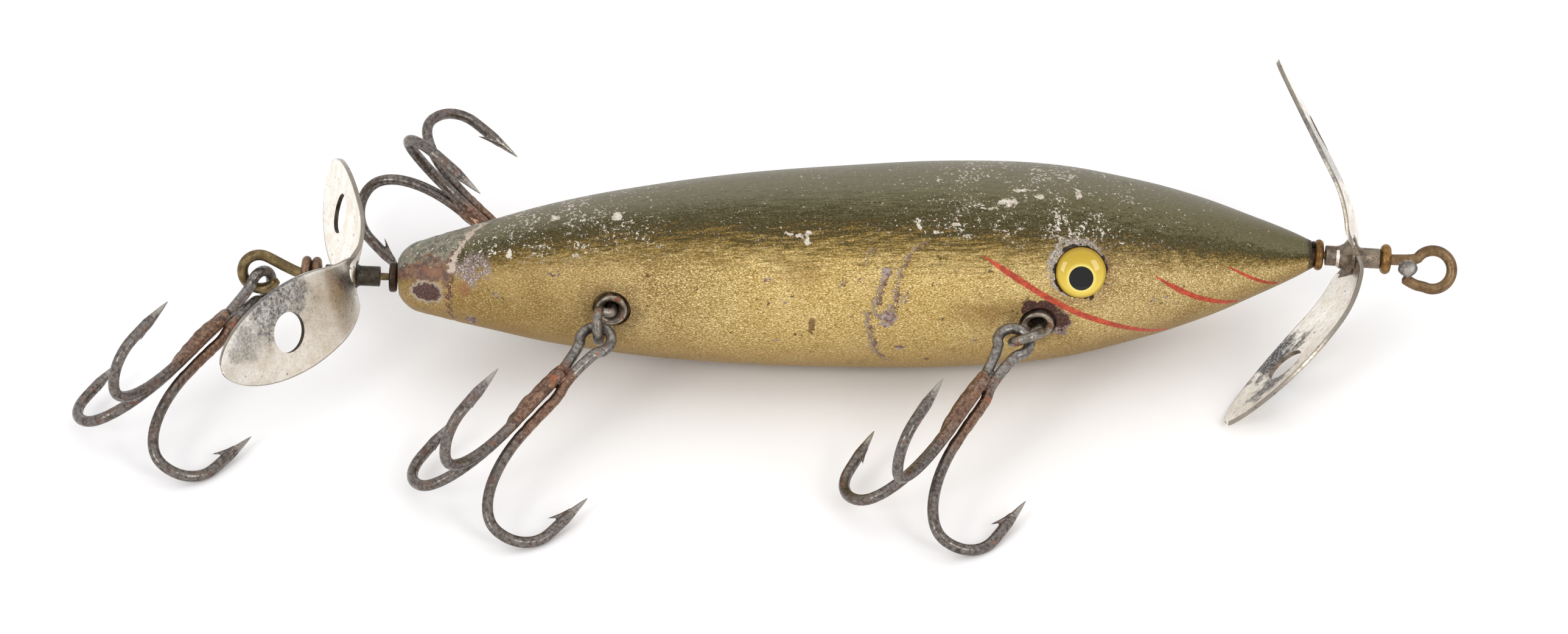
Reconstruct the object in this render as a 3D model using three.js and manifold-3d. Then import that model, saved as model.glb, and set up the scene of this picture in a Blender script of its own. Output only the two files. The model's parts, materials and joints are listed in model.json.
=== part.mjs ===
// Wooden minnow lure with two spinner blades and treble hooks, lying on a table. Millimetres, +Z up.
// +X runs along the body to the nose, -Y is the near side, and the body's axis lies over y = 0.
// The lure is modelled about the body's axis and stood on z = 0 at the end.
import * as THREE from 'three';
import { mergeVertices } from 'three/addons/utils/BufferGeometryUtils.js';
import Module from 'manifold-3d';

const wasm = await Module();
wasm.setup();

// Turned wooden body
const BODY_LENGTH = 95.2;
const BODY_STATIONS = [
  [9.5, 5.68], [16.5, 7.37], [25, 8.78], [36.2, 9.97], [47.6, 10.54], [58.1, 10.73],
  [68.6, 10.06], [77.1, 8.29], [83.8, 6.29], [89.5, 4.03], [93.3, 2.41],
];
const TAIL_FACE_RADIUS = 1.9;
const TAIL_SHOULDER = [1.9, 3.65];
const NOSE_FACE_RADIUS = 1.45;
const BODY_SIDES = 24;
const BODY_ROWS = 16;
const BELLY_ANGLE = 250;

// Wire, bores and the gap left between pieces that touch
const SHAFT_WIRE = 1.15;
const GAP = 0.3;
const SHAFT_DEPTH = 5;
const WIRE_SIDES = 6;

// Nose and tail shafts, each bent a little off the body's axis
const NOSE_SHAFT_DIRECTION = new THREE.Vector3(0.996, -0.055, -0.07).normalize();
const TAIL_SHAFT_DIRECTION = new THREE.Vector3(0.998, -0.04, -0.051).normalize();
const TUBE_OUTER = 2.1;
const TUBE_INNER = 1.3;
const TUBE_LENGTH = 5.7;

// Bent plate blades. Sweeps and pitches are degrees, for the first blade and for the one opposite it:
// each sweep is how far the plate leans tailward at the shares of the blade's length in SWEEP_AT.
const WIDEST_AT = 0.5;
const TIP_HALF_WIDTH = 0.35;
const PLATE = 0.45;
const BLADE_HOLE = 4.25;
const BLADE_ROWS = 10;
const BLADE_CUP = 0.3;
const FRONT_PROPELLER = {
  at: 4.28, angle: 33.5, lengths: [23.2, 23.1], halfWidth: 4.75, hubHalfWidth: 1.9, holeAt: 0.615,
  sweepAt: [0, 0.12, 0.35, 1], sweeps: [[0, 2.9, 26.8, 28.6], [3.6, 18.1, 35.3, 43.3]], pitches: [-16.9, -26.7],
};
const TAIL_PROPELLER = {
  at: -4.81, angle: 174.7, lengths: [22.6, 21.4], halfWidth: 4.85, hubHalfWidth: 2.2, holeAt: 0.58,
  sweepAt: [0, 0.08, 0.3, 1], sweeps: [[0, 6.9, 37.1, 39.6], [0, -1.4, 17.7, 9.4]], pitches: [18.3, 14.9],
};

// Treble hooks: a double hook of one wire, with a third hook brazed along its shank
const HOOK_WIRE = 1.15;
const EYE_RADIUS = 1.65;
const SHANK_LENGTH = 12.8;
const BEND_OUT = [5.05, 4.2];
const BEND_DEPTH = [10, 3.95];
const BEND_END = 86;
const SPEAR_LENGTH = 5.75;
const SHANK_OFFSET = 0.57;
const LOOSE_THROAT_OFFSET = 0.72;
const LOOSE_SHANK_OFFSET = 1.1;
const LOOSE_BEND_OUT = 4.67;
const BRAZE_START = 5.5;
const BRAZE_END = 12.5;
const BRAZE_OFFSET = 0.52;
const BARB_LENGTH = 2.6;
const BARB_BACK = 2.4;

// Screw-in hook hangers in their cups, and the glass eyes
const HANGER_WIRE = 1.0;
const HANGER_RING = 1.55;
const CUP_RADIUS = 1.68;
const CUP_BORE = 0.85;
const CUP_SEAT = 0.75;
const EYE_GLASS_RADIUS = 2.62;
const EYE_AT = 70.6;
const EYE_ANGLE = 100;

const X = new THREE.Vector3(1, 0, 0);
const tailX = -BODY_LENGTH / 2;
const noseX = BODY_LENGTH / 2;
const rad = THREE.MathUtils.degToRad;
const lerp = THREE.MathUtils.lerp;

// Unit direction across the body, at an angle from +Y towards +Z
function across(angle) {
  return new THREE.Vector3(0, Math.cos(rad(angle)), Math.sin(rad(angle)));
}

function place(origin, ...terms) {
  const point = origin.clone();
  for (const [direction, distance] of terms) point.addScaledVector(direction, distance);
  return point;
}

// Solids and joins
function merged(geometry) {
  const plain = geometry.clone();
  for (const name of ['normal', 'uv']) plain.deleteAttribute(name);
  return mergeVertices(plain, 1e-5);
}

function solid(geometry) {
  const plain = merged(geometry);
  return new wasm.Manifold(new wasm.Mesh({
    numProp: 3,
    vertProperties: new Float32Array(plain.attributes.position.array),
    triVerts: new Uint32Array(plain.index.array),
  }));
}

function geometryOf(manifold) {
  const mesh = manifold.getMesh();
  const geometry = new THREE.BufferGeometry();
  geometry.setAttribute('position', new THREE.BufferAttribute(new Float32Array(mesh.vertProperties), 3));
  geometry.setIndex(new THREE.BufferAttribute(new Uint32Array(mesh.triVerts), 1));
  return geometry;
}

function join(geometries) {
  return geometryOf(geometries.map(solid).reduce((whole, piece) => whole.add(piece)));
}

function cut(geometry, tools) {
  return geometryOf(tools.map(solid).reduce((whole, tool) => whole.subtract(tool), solid(geometry)));
}

function placed(geometry, origin, xDirection, yHint) {
  const z = new THREE.Vector3().crossVectors(xDirection, yHint).normalize();
  const y = new THREE.Vector3().crossVectors(z, xDirection).normalize();
  const matrix = new THREE.Matrix4().makeBasis(xDirection, y, z).setPosition(origin);
  return geometry.clone().applyMatrix4(matrix);
}

// A closed round wire: a cylinder whose rows are carried along the points, with its own radius at each
function wire(points, radiusAt, sides = WIRE_SIDES) {
  const last = points.length - 1;
  const rows = merged(new THREE.CylinderGeometry(1, 1, 1, sides, last));
  const tangents = points.map((_, i) => new THREE.Vector3()
    .subVectors(points[Math.min(i + 1, last)], points[Math.max(i - 1, 0)]).normalize());
  const side = new THREE.Vector3(0.31, 0.52, 0.79);
  const frames = tangents.map((tangent) => {
    side.addScaledVector(tangent, -side.dot(tangent)).normalize();
    return [side.clone(), new THREE.Vector3().crossVectors(tangent, side)];
  });
  const position = rows.attributes.position;
  for (let i = 0; i < position.count; i += 1) {
    const row = Math.round((0.5 - position.getY(i)) * last);
    const radius = radiusAt(row, last);
    const point = place(points[row], [frames[row][0], position.getX(i) * radius],
      [frames[row][1], position.getZ(i) * radius]);
    position.setXYZ(i, point.x, point.y, point.z);
  }
  return rows;
}

function smooth(points, count) {
  return new THREE.CatmullRomCurve3(points, false, 'centripetal').getSpacedPoints(count);
}

function circlePoints(centre, e1, e2, radius, from, to, count) {
  return Array.from({ length: count + 1 }, (_, i) => {
    const angle = rad(lerp(from, to, i / count));
    return place(centre, [e1, radius * Math.cos(angle)], [e2, radius * Math.sin(angle)]);
  });
}

// A turned piece on a shaft: profile points are distance along the shaft and radius
function turned(profile, sides, origin, direction) {
  const points = profile.map(([along, radius]) => new THREE.Vector2(radius, along));
  const lathe = new THREE.LatheGeometry(points, sides);
  lathe.rotateZ(-Math.PI / 2);
  return placed(lathe, origin, direction, across(90));
}

function tube(from, to, outer, inner, sides, origin, direction) {
  const profile = [[from, inner], [from, outer], [to, outer], [to, inner], [from, inner]];
  return turned(profile, sides, origin, direction);
}

// Pieces and their materials
const lure = new THREE.Group();

function add(name, geometry, color, roughness, metalness) {
  const mesh = new THREE.Mesh(geometry, new THREE.MeshStandardMaterial({ color, roughness, metalness }));
  mesh.name = name;
  geometry.computeVertexNormals();
  lure.add(mesh);
  return mesh;
}

// Body
const bodyCurve = new THREE.SplineCurve([TAIL_SHOULDER, ...BODY_STATIONS, [BODY_LENGTH, NOSE_FACE_RADIUS]]
  .map(([along, radius]) => new THREE.Vector2(along, radius)));
const bodyOutline = bodyCurve.getSpacedPoints(BODY_ROWS);

function bodyRadius(x) {
  const along = x - tailX;
  const next = Math.max(1, bodyOutline.findIndex((point) => point.x >= along));
  const [a, b] = [bodyOutline[next - 1], bodyOutline[next]];
  return lerp(a.y, b.y, (along - a.x) / (b.x - a.x));
}

function surfacePoint(x, angle) {
  return place(new THREE.Vector3(x, 0, 0), [across(angle), bodyRadius(x)]);
}

const HANGERS = [
  { name: 'near_front', x: 18.5, fromBelly: 68.5, ring: [17.23, -13.58, 0.64], normal: [-0.305, 0.547, 0.779] },
  { name: 'near_rear', x: -25.3, fromBelly: 80, ring: [-26.6, -10.44, 1.05], normal: [0.995, -0.093, 0.03] },
  { name: 'far_front', x: 18.5, fromBelly: -68.5, ring: [17.6, 9.3, -8.68], normal: [1, 0, 0.1] },
  { name: 'far_rear', x: -29.6, fromBelly: -68, ring: [-30.2, 7.48, -6.99], normal: [0.9, -0.297, -0.318] },
];
for (const hanger of HANGERS) {
  hanger.angle = BELLY_ANGLE - hanger.fromBelly;
  hanger.out = across(hanger.angle);
  hanger.foot = surfacePoint(hanger.x, hanger.angle);
}
const EYES = [['eye_near', BELLY_ANGLE - EYE_ANGLE], ['eye_far', BELLY_ANGLE + EYE_ANGLE]].map(([name, angle]) => ({
  name, out: across(angle), foot: surfacePoint(tailX + EYE_AT, angle),
}));
const nosePoint = new THREE.Vector3(noseX, 0, 0);
const tailPoint = new THREE.Vector3(tailX, 0, 0);

function makeBody() {
  const profile = [[0, 0], [0, TAIL_FACE_RADIUS], [1, 3.15], ...bodyOutline.map((p) => [p.x, p.y]), [BODY_LENGTH, 0]];
  const blank = turned(profile, BODY_SIDES, tailPoint, X);
  const shaftBore = SHAFT_WIRE / 2 + GAP;
  const tools = [
    turned([[-SHAFT_DEPTH - GAP, 0], [-SHAFT_DEPTH - GAP, shaftBore], [2, shaftBore], [2, 0]], 10,
      nosePoint, NOSE_SHAFT_DIRECTION),
    turned([[-2, 0], [-2, shaftBore], [SHAFT_DEPTH + GAP, shaftBore], [SHAFT_DEPTH + GAP, 0]], 10,
      tailPoint, TAIL_SHAFT_DIRECTION),
  ];
  const seat = CUP_RADIUS + GAP;
  const screw = HANGER_WIRE / 2 + GAP;
  for (const { foot, out } of HANGERS) {
    tools.push(turned([[-4.3, 0], [-4.3, screw], [-CUP_SEAT, screw], [-CUP_SEAT, seat], [2, seat], [2, 0]], 12,
      foot, out));
  }
  const socket = EYE_GLASS_RADIUS + GAP;
  for (const { foot, out } of EYES) {
    tools.push(turned([[-1.9, 0], [-1.9, socket], [3, socket], [3, 0]], 16, foot, out));
  }
  return cut(blank, tools);
}

add('body', makeBody(), 0xa58b45, 0.45, 0.1);

// Glass eyes: a domed button set in its socket
for (const { name, foot, out } of EYES) {
  const dome = Array.from({ length: 4 }, (_, i) => {
    const angle = rad(90 * i / 3);
    return [0.05 + 0.85 * Math.sin(angle), EYE_GLASS_RADIUS * Math.cos(angle)];
  });
  dome[3][1] = 0;
  const profile = [[-1.55, 0], [-1.55, 2.1], [-0.7, EYE_GLASS_RADIUS], ...dome];
  add(name, turned(profile, 16, foot, out), 0xd8b13a, 0.15, 0);
}

// Shaft with its end bent round a centre into a loop; the last few points are given from that centre
function tie(origin, direction, inner, leave, centre, e1, e2, radius, from, to, closing = []) {
  const turn = circlePoints(centre, e1, e2, radius, from, to, 14);
  const lastPoints = closing.map(([out, up]) => place(centre, [e1, out], [e2, up]));
  const start = place(origin, [direction, leave]);
  const before = place(origin, [direction, leave - Math.sign(leave) * 0.8]);
  const bent = smooth([before, start, ...turn, ...lastPoints], 19);
  const points = [place(origin, [direction, inner]), ...bent];
  return wire(points, () => SHAFT_WIRE / 2);
}

const loopUp = across(52);
const lineTieCentre = place(nosePoint, [NOSE_SHAFT_DIRECTION, 12.65], [loopUp, -0.8]);
const lineTieWire = tie(nosePoint, NOSE_SHAFT_DIRECTION, -SHAFT_DEPTH, 8.9, lineTieCentre, X, loopUp, 2.0, 142, -118,
  [[-1.75, -1.55], [-2.5, -1.15], [-3.15, -0.72]]);
const solder = new THREE.SphereGeometry(1, 8, 5);
solder.scale(0.95, 0.75, 0.62);
const solderAt = place(nosePoint, [NOSE_SHAFT_DIRECTION, 10.05], [loopUp, -0.6]);
add('line_tie', join([lineTieWire, placed(solder, solderAt, X, loopUp)]), 0x8a6f4a, 0.4, 0.85);

const tailLoopNormal = new THREE.Vector3(-0.076, -0.951, 0.3).normalize();
const tailLoopAlong = place(X, [tailLoopNormal, -X.dot(tailLoopNormal)]).normalize();
const tailLoopUp = new THREE.Vector3().crossVectors(tailLoopNormal, tailLoopAlong);
const tailTieCentre = new THREE.Vector3(-62.13, 1.17, 0.3);
const tailTieWire = tie(tailPoint, TAIL_SHAFT_DIRECTION, SHAFT_DEPTH, -10.2, tailTieCentre, tailLoopAlong, tailLoopUp,
  1.85, 62, 335);
add('tail_tie', tailTieWire, 0x7d6a3c, 0.4, 0.85);

// Rings of wire and the washer that space the propellers on their shafts
function ring(name, origin, direction, at, outer, thick, color) {
  const tubeRadius = thick / 2;
  const bore = SHAFT_WIRE / 2 + 0.06;
  const profile = Array.from({ length: 7 }, (_, i) => {
    const angle = rad(360 * i / 6);
    const middle = (outer + bore) / 2;
    return [at - tubeRadius * Math.cos(angle), middle + (outer - bore) / 2 * Math.sin(angle)];
  });
  add(name, turned(profile, 10, origin, direction), color, 0.4, 0.85);
}

ring('nose_ring', nosePoint, NOSE_SHAFT_DIRECTION, 0.72, 1.62, 0.95, 0x8a5a30);
ring('tie_ring', nosePoint, NOSE_SHAFT_DIRECTION, 7.72, 1.58, 1.1, 0x7d6a48);
ring('tail_washer', tailPoint, TAIL_SHAFT_DIRECTION, -0.58, 1.58, 0.8, 0x2b2420);
ring('tail_ring_inner', tailPoint, TAIL_SHAFT_DIRECTION, -8.6, 1.8, 1.0, 0x7b5238);
ring('tail_ring_outer', tailPoint, TAIL_SHAFT_DIRECTION, -9.65, 1.85, 1.0, 0x7b5238);

// Propellers: one plate bent back on both sides of the tube that it is soldered to
function bladeHalfWidth(t, { halfWidth, hubHalfWidth }) {
  if (t < WIDEST_AT) return lerp(hubHalfWidth, halfWidth, Math.sin(rad(90 * t / WIDEST_AT)));
  const u = (t - WIDEST_AT) / (1 - WIDEST_AT);
  return lerp(TIP_HALF_WIDTH, halfWidth, (1 - u * u) ** 0.6);
}

function sweepOf(sweeps, sweepAt, t) {
  const i = Math.max(1, sweepAt.findIndex((at) => at >= t));
  return rad(lerp(sweeps[i - 1], sweeps[i], (t - sweepAt[i - 1]) / (sweepAt[i] - sweepAt[i - 1])));
}

// Rows along one blade: distance out from the shaft, distance tailward, and the sweep there
function bladeRun(sweeps, length, { sweepAt }) {
  const run = [{ out: 0, back: 0, sweep: 0 }];
  const step = length / BLADE_ROWS;
  for (let i = 1; i <= BLADE_ROWS; i += 1) {
    const middle = sweepOf(sweeps, sweepAt, (i - 0.5) / BLADE_ROWS);
    const last = run[i - 1];
    run.push({
      out: last.out + step * Math.cos(middle),
      back: last.back + step * Math.sin(middle),
      sweep: sweepOf(sweeps, sweepAt, i / BLADE_ROWS),
    });
  }
  return run;
}

function propeller(shape, origin, direction) {
  const runs = shape.sweeps.map((sweeps, i) => bladeRun(sweeps, shape.lengths[i], shape));
  const plate = merged(new THREE.BoxGeometry(2, 1, 1, 2 * BLADE_ROWS, 1, 4));
  const position = plate.attributes.position;
  const frameAt = (s) => {
    const share = Math.abs(s) * BLADE_ROWS;
    const row = Math.min(Math.floor(share), BLADE_ROWS - 1);
    const [a, b] = runs[s < 0 ? 1 : 0].slice(row, row + 2);
    const [out, back, sweep] = ['out', 'back', 'sweep'].map((key) => lerp(a[key], b[key], share - row));
    const hub = (shape.pitches[0] + shape.pitches[1]) / 2;
    const tilt = rad(lerp(hub, shape.pitches[s < 0 ? 1 : 0], Math.min(1, share)));
    const r = across(s < 0 ? shape.angle + 180 : shape.angle);
    const t = new THREE.Vector3().crossVectors(X, r);
    const rise = place(new THREE.Vector3(), [X, Math.cos(sweep)], [r, Math.sin(sweep)]);
    const chord = place(new THREE.Vector3(), [t, Math.cos(tilt)], [rise, Math.sin(tilt)]);
    const along = place(new THREE.Vector3(), [X, -Math.sin(sweep)], [r, Math.cos(sweep)]);
    const face = new THREE.Vector3().crossVectors(along, chord);
    return { centre: place(new THREE.Vector3(shape.at, 0, 0), [r, out], [X, -back]), chord, face };
  };
  for (let i = 0; i < position.count; i += 1) {
    const s = position.getX(i);
    const { centre, chord, face } = frameAt(s);
    const across01 = position.getZ(i) * 2;
    const half = bladeHalfWidth(Math.abs(s), shape);
    const bow = s === 0 ? 0 : BLADE_CUP * (half / shape.halfWidth) * (across01 * across01 - 0.5);
    const flip = s < 0 ? -1 : 1;
    const point = place(centre, [chord, across01 * half * flip], [face, -position.getY(i) * PLATE - bow]);
    position.setXYZ(i, point.x, point.y, point.z);
  }
  const holes = [1, -1].map((side) => {
    const { centre, face } = frameAt(side * shape.holeAt);
    const hole = new THREE.CylinderGeometry(BLADE_HOLE / 2, BLADE_HOLE / 2, 6, 16);
    hole.rotateZ(-Math.PI / 2);
    return placed(hole, centre, face, across(shape.angle));
  });
  const centre = new THREE.Vector3();
  const { at } = shape;
  const half = TUBE_LENGTH / 2;
  const sleeve = turned([[at - half, 0], [at - half, TUBE_OUTER / 2], [at + half, TUBE_OUTER / 2], [at + half, 0]],
    12, centre, X);
  const bore = turned([[at - 9, 0], [at - 9, TUBE_INNER / 2], [at + 9, TUBE_INNER / 2], [at + 9, 0]], 12, centre, X);
  const fillet = turned([[at - 1.3, 0], [at - 1.3, TUBE_OUTER / 2], [at - 0.2, 2.1], [at + 0.3, 1.6], [at + 0.5, 0]],
    12, centre, X);
  const local = cut(join([plate, sleeve, fillet]), [...holes, bore]);
  return placed(local, origin, direction, new THREE.Vector3(0, 1, 0));
}

add('front_propeller', propeller(FRONT_PROPELLER, nosePoint, NOSE_SHAFT_DIRECTION), 0xc9c4b8, 0.3, 0.9);
add('tail_propeller', propeller(TAIL_PROPELLER, tailPoint, TAIL_SHAFT_DIRECTION), 0xc9c4b8, 0.3, 0.9);

// Hook hangers: a wire screwed into the body through a cup, its end bent round into a ring
for (const hanger of HANGERS) {
  const { name, foot, out, normal } = hanger;
  const cup = [[-CUP_SEAT + 0.25, CUP_BORE], [-CUP_SEAT + 0.25, CUP_RADIUS], [0.15, CUP_RADIUS],
    [0.35, 1.42], [0.28, 1.2], [-0.15, CUP_BORE]];
  add(`hanger_cup_${name}`, turned([...cup, cup[0]], 12, foot, out), 0x6b655c, 0.45, 0.8);
  const centre = new THREE.Vector3(...hanger.ring);
  const n = new THREE.Vector3(...normal).normalize();
  const back = new THREE.Vector3().subVectors(foot, centre);
  back.addScaledVector(n, -back.dot(n)).normalize();
  const sideways = new THREE.Vector3().crossVectors(n, back);
  const turn = circlePoints(centre, back, sideways, HANGER_RING, 30, 300, 10);
  const bent = smooth([place(foot, [out, 0.6]), ...turn], 12);
  add(`hanger_hook_${name}`, wire([place(foot, [out, -3.8]), ...bent], () => HANGER_WIRE / 2, 6), 0x6b655c, 0.4, 0.85);
}

// One hook's centre line below the eye: distance out from the shank's middle line, and distance down it.
// The loose hook stands a little off the brazed pair below its throat.
function hookLine(loose) {
  const offset = loose ? LOOSE_SHANK_OFFSET : SHANK_OFFSET;
  const bendOut = loose ? LOOSE_BEND_OUT : BEND_OUT[0];
  const throat = loose ? [[LOOSE_THROAT_OFFSET, BRAZE_START], [offset, BRAZE_START + 2]] : [[offset, BRAZE_START]];
  const line = [...throat, [offset, SHANK_LENGTH]];
  const upperRows = 4;
  for (let i = 1; i <= upperRows; i += 1) {
    const angle = rad(90 * i / upperRows);
    line.push([offset + bendOut * (1 - Math.cos(angle)), SHANK_LENGTH + BEND_DEPTH[0] * Math.sin(angle)]);
  }
  const [out, down] = line[line.length - 1];
  const lowerRows = 3;
  for (let i = 1; i <= lowerRows; i += 1) {
    const angle = rad(BEND_END * i / lowerRows);
    line.push([out + BEND_OUT[1] * Math.sin(angle), down - BEND_DEPTH[1] * (1 - Math.cos(angle))]);
  }
  const end = rad(BEND_END);
  const slope = new THREE.Vector2(BEND_OUT[1] * Math.cos(end), -BEND_DEPTH[1] * Math.sin(end)).normalize();
  const spear = line[line.length - 1];
  for (const along of [0.45, 0.75, 1]) {
    line.push([spear[0] + slope.x * SPEAR_LENGTH * along, spear[1] + slope.y * SPEAR_LENGTH * along]);
  }
  return line;
}

function spearRadius(fromTip) {
  return [0.05, 0.36, 0.52][fromTip] ?? HOOK_WIRE / 2;
}

// Treble about its eye: `down` runs along the shank, hooks stand round it at 0 and +-120 degrees
function treble(centre, down, firstHook, hand, eyeTurn) {
  const e1 = place(firstHook, [down, -firstHook.dot(down)]).normalize();
  const e2 = new THREE.Vector3().crossVectors(e1, down).multiplyScalar(hand);
  const outward = (turn) => place(new THREE.Vector3(), [e1, Math.cos(rad(turn))], [e2, Math.sin(rad(turn))]);
  const linePoints = (turn) => hookLine(turn === 0)
    .map(([out, along]) => place(centre, [outward(turn), out], [down, along]));
  const tapered = (fromTip, last) => spearRadius(Math.min(fromTip, last - fromTip));

  const eyeSide = outward(eyeTurn);
  const eye = circlePoints(centre, eyeSide, down.clone().negate(), EYE_RADIUS, -48, 228, 8);
  const loose = linePoints(0);
  const fixed = linePoints(120);
  const double = wire([...loose.reverse(), ...eye, ...fixed], tapered);
  const third = linePoints(-120);
  const single = wire(third, (row, last) => spearRadius(last - row));
  const middle = outward(180);
  const braze = [-0.1, 0.04, 0.5, 1, 1.15].map((t) => place(centre, [middle, BRAZE_OFFSET],
    [down, lerp(BRAZE_START, BRAZE_END, t)]));
  const sheath = wire(braze, (row) => [0.3, 0.8, 0.82, 0.75, 0.4][row]);
  const barbs = [0, 120, -120].map((turn) => {
    const line = linePoints(turn);
    const tip = line[line.length - 1];
    const spear = new THREE.Vector3().subVectors(line[line.length - 4], tip).normalize();
    const root = place(tip, [spear, BARB_BACK], [outward(turn), -0.15]);
    const inward = outward(turn).negate();
    const point = place(root, [spear, BARB_LENGTH * 0.9], [inward, 1.15]);
    const middlePoint = place(root, [spear, BARB_LENGTH * 0.35], [inward, 0.35]);
    return wire([root, middlePoint, point], (row) => [0.36, 0.34, 0.05][row], 5);
  });
  return join([double, single, sheath, ...barbs]);
}

const TREBLES = [
  { name: 'near_front', eye: [15.85, -14.17, 0.53], down: [-0.536, -0.805, -0.255], hook: [0.753, -0.318, -0.576],
    hand: 1, eyeTurn: -21.7 },
  { name: 'near_rear', eye: [-26.96, -11.98, 0.42], down: [-0.628, -0.737, -0.25], hook: [0.715, -0.418, -0.561],
    hand: 1, eyeTurn: -28.4 },
  { name: 'far_rear', eye: [-31.07, 7.35, -8.54], down: [-0.723, 0.397, 0.565], hook: [0.486, 0.873, 0.009],
    hand: -1, eyeTurn: -65.3 },
  { name: 'tail', eye: [-62.16, 0.72, -1.24], down: [-0.598, -0.785, -0.16], hook: [0.7, -0.416, -0.579],
    hand: 1, eyeTurn: 49.3 },
];
for (const { name, eye, down, hook, hand, eyeTurn } of TREBLES) {
  const geometry = treble(new THREE.Vector3(...eye), new THREE.Vector3(...down).normalize(),
    new THREE.Vector3(...hook), hand, eyeTurn);
  add(`treble_${name}`, geometry, 0x4a433c, 0.4, 0.8);
}

// Stand the lure on z = 0, centred on its bounding box
const box = new THREE.Box3().setFromObject(lure, true);
const shift = new THREE.Vector3(-(box.min.x + box.max.x) / 2, -(box.min.y + box.max.y) / 2, -box.min.z);
lure.position.copy(shift);

export default lure;
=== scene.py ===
import json
import math

import bmesh
import bpy
from mathutils import Matrix, Vector, noise


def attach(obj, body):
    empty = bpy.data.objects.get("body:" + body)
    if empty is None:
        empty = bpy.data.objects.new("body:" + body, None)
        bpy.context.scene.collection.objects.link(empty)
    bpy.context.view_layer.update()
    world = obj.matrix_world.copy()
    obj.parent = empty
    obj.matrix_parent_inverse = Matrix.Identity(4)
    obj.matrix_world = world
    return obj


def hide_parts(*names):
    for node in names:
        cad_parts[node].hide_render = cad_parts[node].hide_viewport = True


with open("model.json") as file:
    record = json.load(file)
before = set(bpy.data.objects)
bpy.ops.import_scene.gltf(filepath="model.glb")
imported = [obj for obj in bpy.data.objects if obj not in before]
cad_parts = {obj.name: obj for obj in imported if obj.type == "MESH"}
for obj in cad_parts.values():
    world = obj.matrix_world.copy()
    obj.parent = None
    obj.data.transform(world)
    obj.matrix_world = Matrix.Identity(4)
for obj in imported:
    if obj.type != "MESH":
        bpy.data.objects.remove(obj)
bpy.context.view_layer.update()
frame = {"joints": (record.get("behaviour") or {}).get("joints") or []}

# Where the lure lies. The body's axis runs from the tail point to the nose point, +X towards the nose and
# -Y the near side. Places below are millimetres from the middle of that axis, and MM makes them metres.
MM = 0.001
spins = {joint["name"]: joint for joint in frame["joints"]}
NOSE, TAIL = (Vector(spins[name]["pos_m"]) for name in ("nose_spin", "tail_spin"))
NOSE_LINE, TAIL_LINE = (Vector(spins[name]["axis"]).normalized() for name in ("nose_spin", "tail_spin"))
MIDDLE = (NOSE + TAIL) / 2
HALF_BODY = (NOSE - TAIL).length / 2 / MM
ALONG = Vector((1, 0, 0))


def spot(x, y, z):
    """A place given in millimetres from the middle of the body's axis."""
    return MIDDLE + Vector((x, y, z)) * MM


def across(degrees):
    """The unit direction across the body at an angle from +Y up towards +Z."""
    return Vector((0, math.cos(math.radians(degrees)), math.sin(math.radians(degrees))))


# The camera looks down on the near side at 38 degrees, leaning a degree and a half to its right.
VIEW_ELEVATION = 38
VIEW_ROLL = -1.43
camera = bpy.data.objects.new("camera", bpy.data.cameras.new("camera"))
camera.data.sensor_width = 36
camera.data.lens = 132.07
camera.data.clip_start = 0.01
camera.matrix_world = (Matrix.Translation(spot(-7.56, -475.98, 365.34))
                       @ Matrix.Rotation(math.radians(90 - VIEW_ELEVATION), 4, "X")
                       @ Matrix.Rotation(math.radians(VIEW_ROLL), 4, "Z"))
bpy.context.scene.collection.objects.link(camera)
bpy.context.scene.camera = camera
bpy.context.scene.view_settings.view_transform = "Standard"


# The table top is a wide white sheet. A broad pale ceiling and two soft windows on the near side light it.
def tint(red, green, blue):
    """A colour as it is seen on a screen, 0 to 255, for a shader."""
    shares = (value / 255 for value in (red, green, blue))
    return (*(s / 12.92 if s <= 0.04045 else ((s + 0.055) / 1.055) ** 2.4 for s in shares), 1)


class Level:
    """A number, a place or a colour that varies over a surface. Arithmetic on it adds Math nodes."""

    def __init__(self, finish, socket):
        self.finish, self.socket = finish, socket

    def __add__(self, other):
        return self.finish.maths("ADD", self, other)

    def __sub__(self, other):
        return self.finish.maths("SUBTRACT", self, other)

    def __mul__(self, other):
        return self.finish.maths("MULTIPLY", self, other)

    def __truediv__(self, other):
        return self.finish.maths("DIVIDE", self, other)

    def __pow__(self, other):
        return self.finish.maths("POWER", self, other)

    def __gt__(self, other):
        return self.finish.maths("GREATER_THAN", self, other)

    def __lt__(self, other):
        return self.finish.maths("LESS_THAN", self, other)

    def __abs__(self):
        return self.finish.maths("ABSOLUTE", self)

    def root(self):
        return self.finish.maths("SQRT", self)

    def parts(self):
        """Every output of the node that this one comes from."""
        return [Level(self.finish, socket) for socket in self.socket.node.outputs]

    def rise(self, low, high, first=0.0, last=1.0):
        """A soft step from first to last as the level goes from low to high; high may be the smaller."""
        inputs = {0: self, 1: low, 2: high, 3: first, 4: last}
        return self.finish.step("MapRange", inputs, interpolation_type="SMOOTHSTEP")

    def mix(self, first, second):
        """The first colour where the level is 0, the second where it is 1."""
        return self.finish.step("Mix", {0: self, 6: first, 7: second}, out=2, data_type="RGBA")


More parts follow.
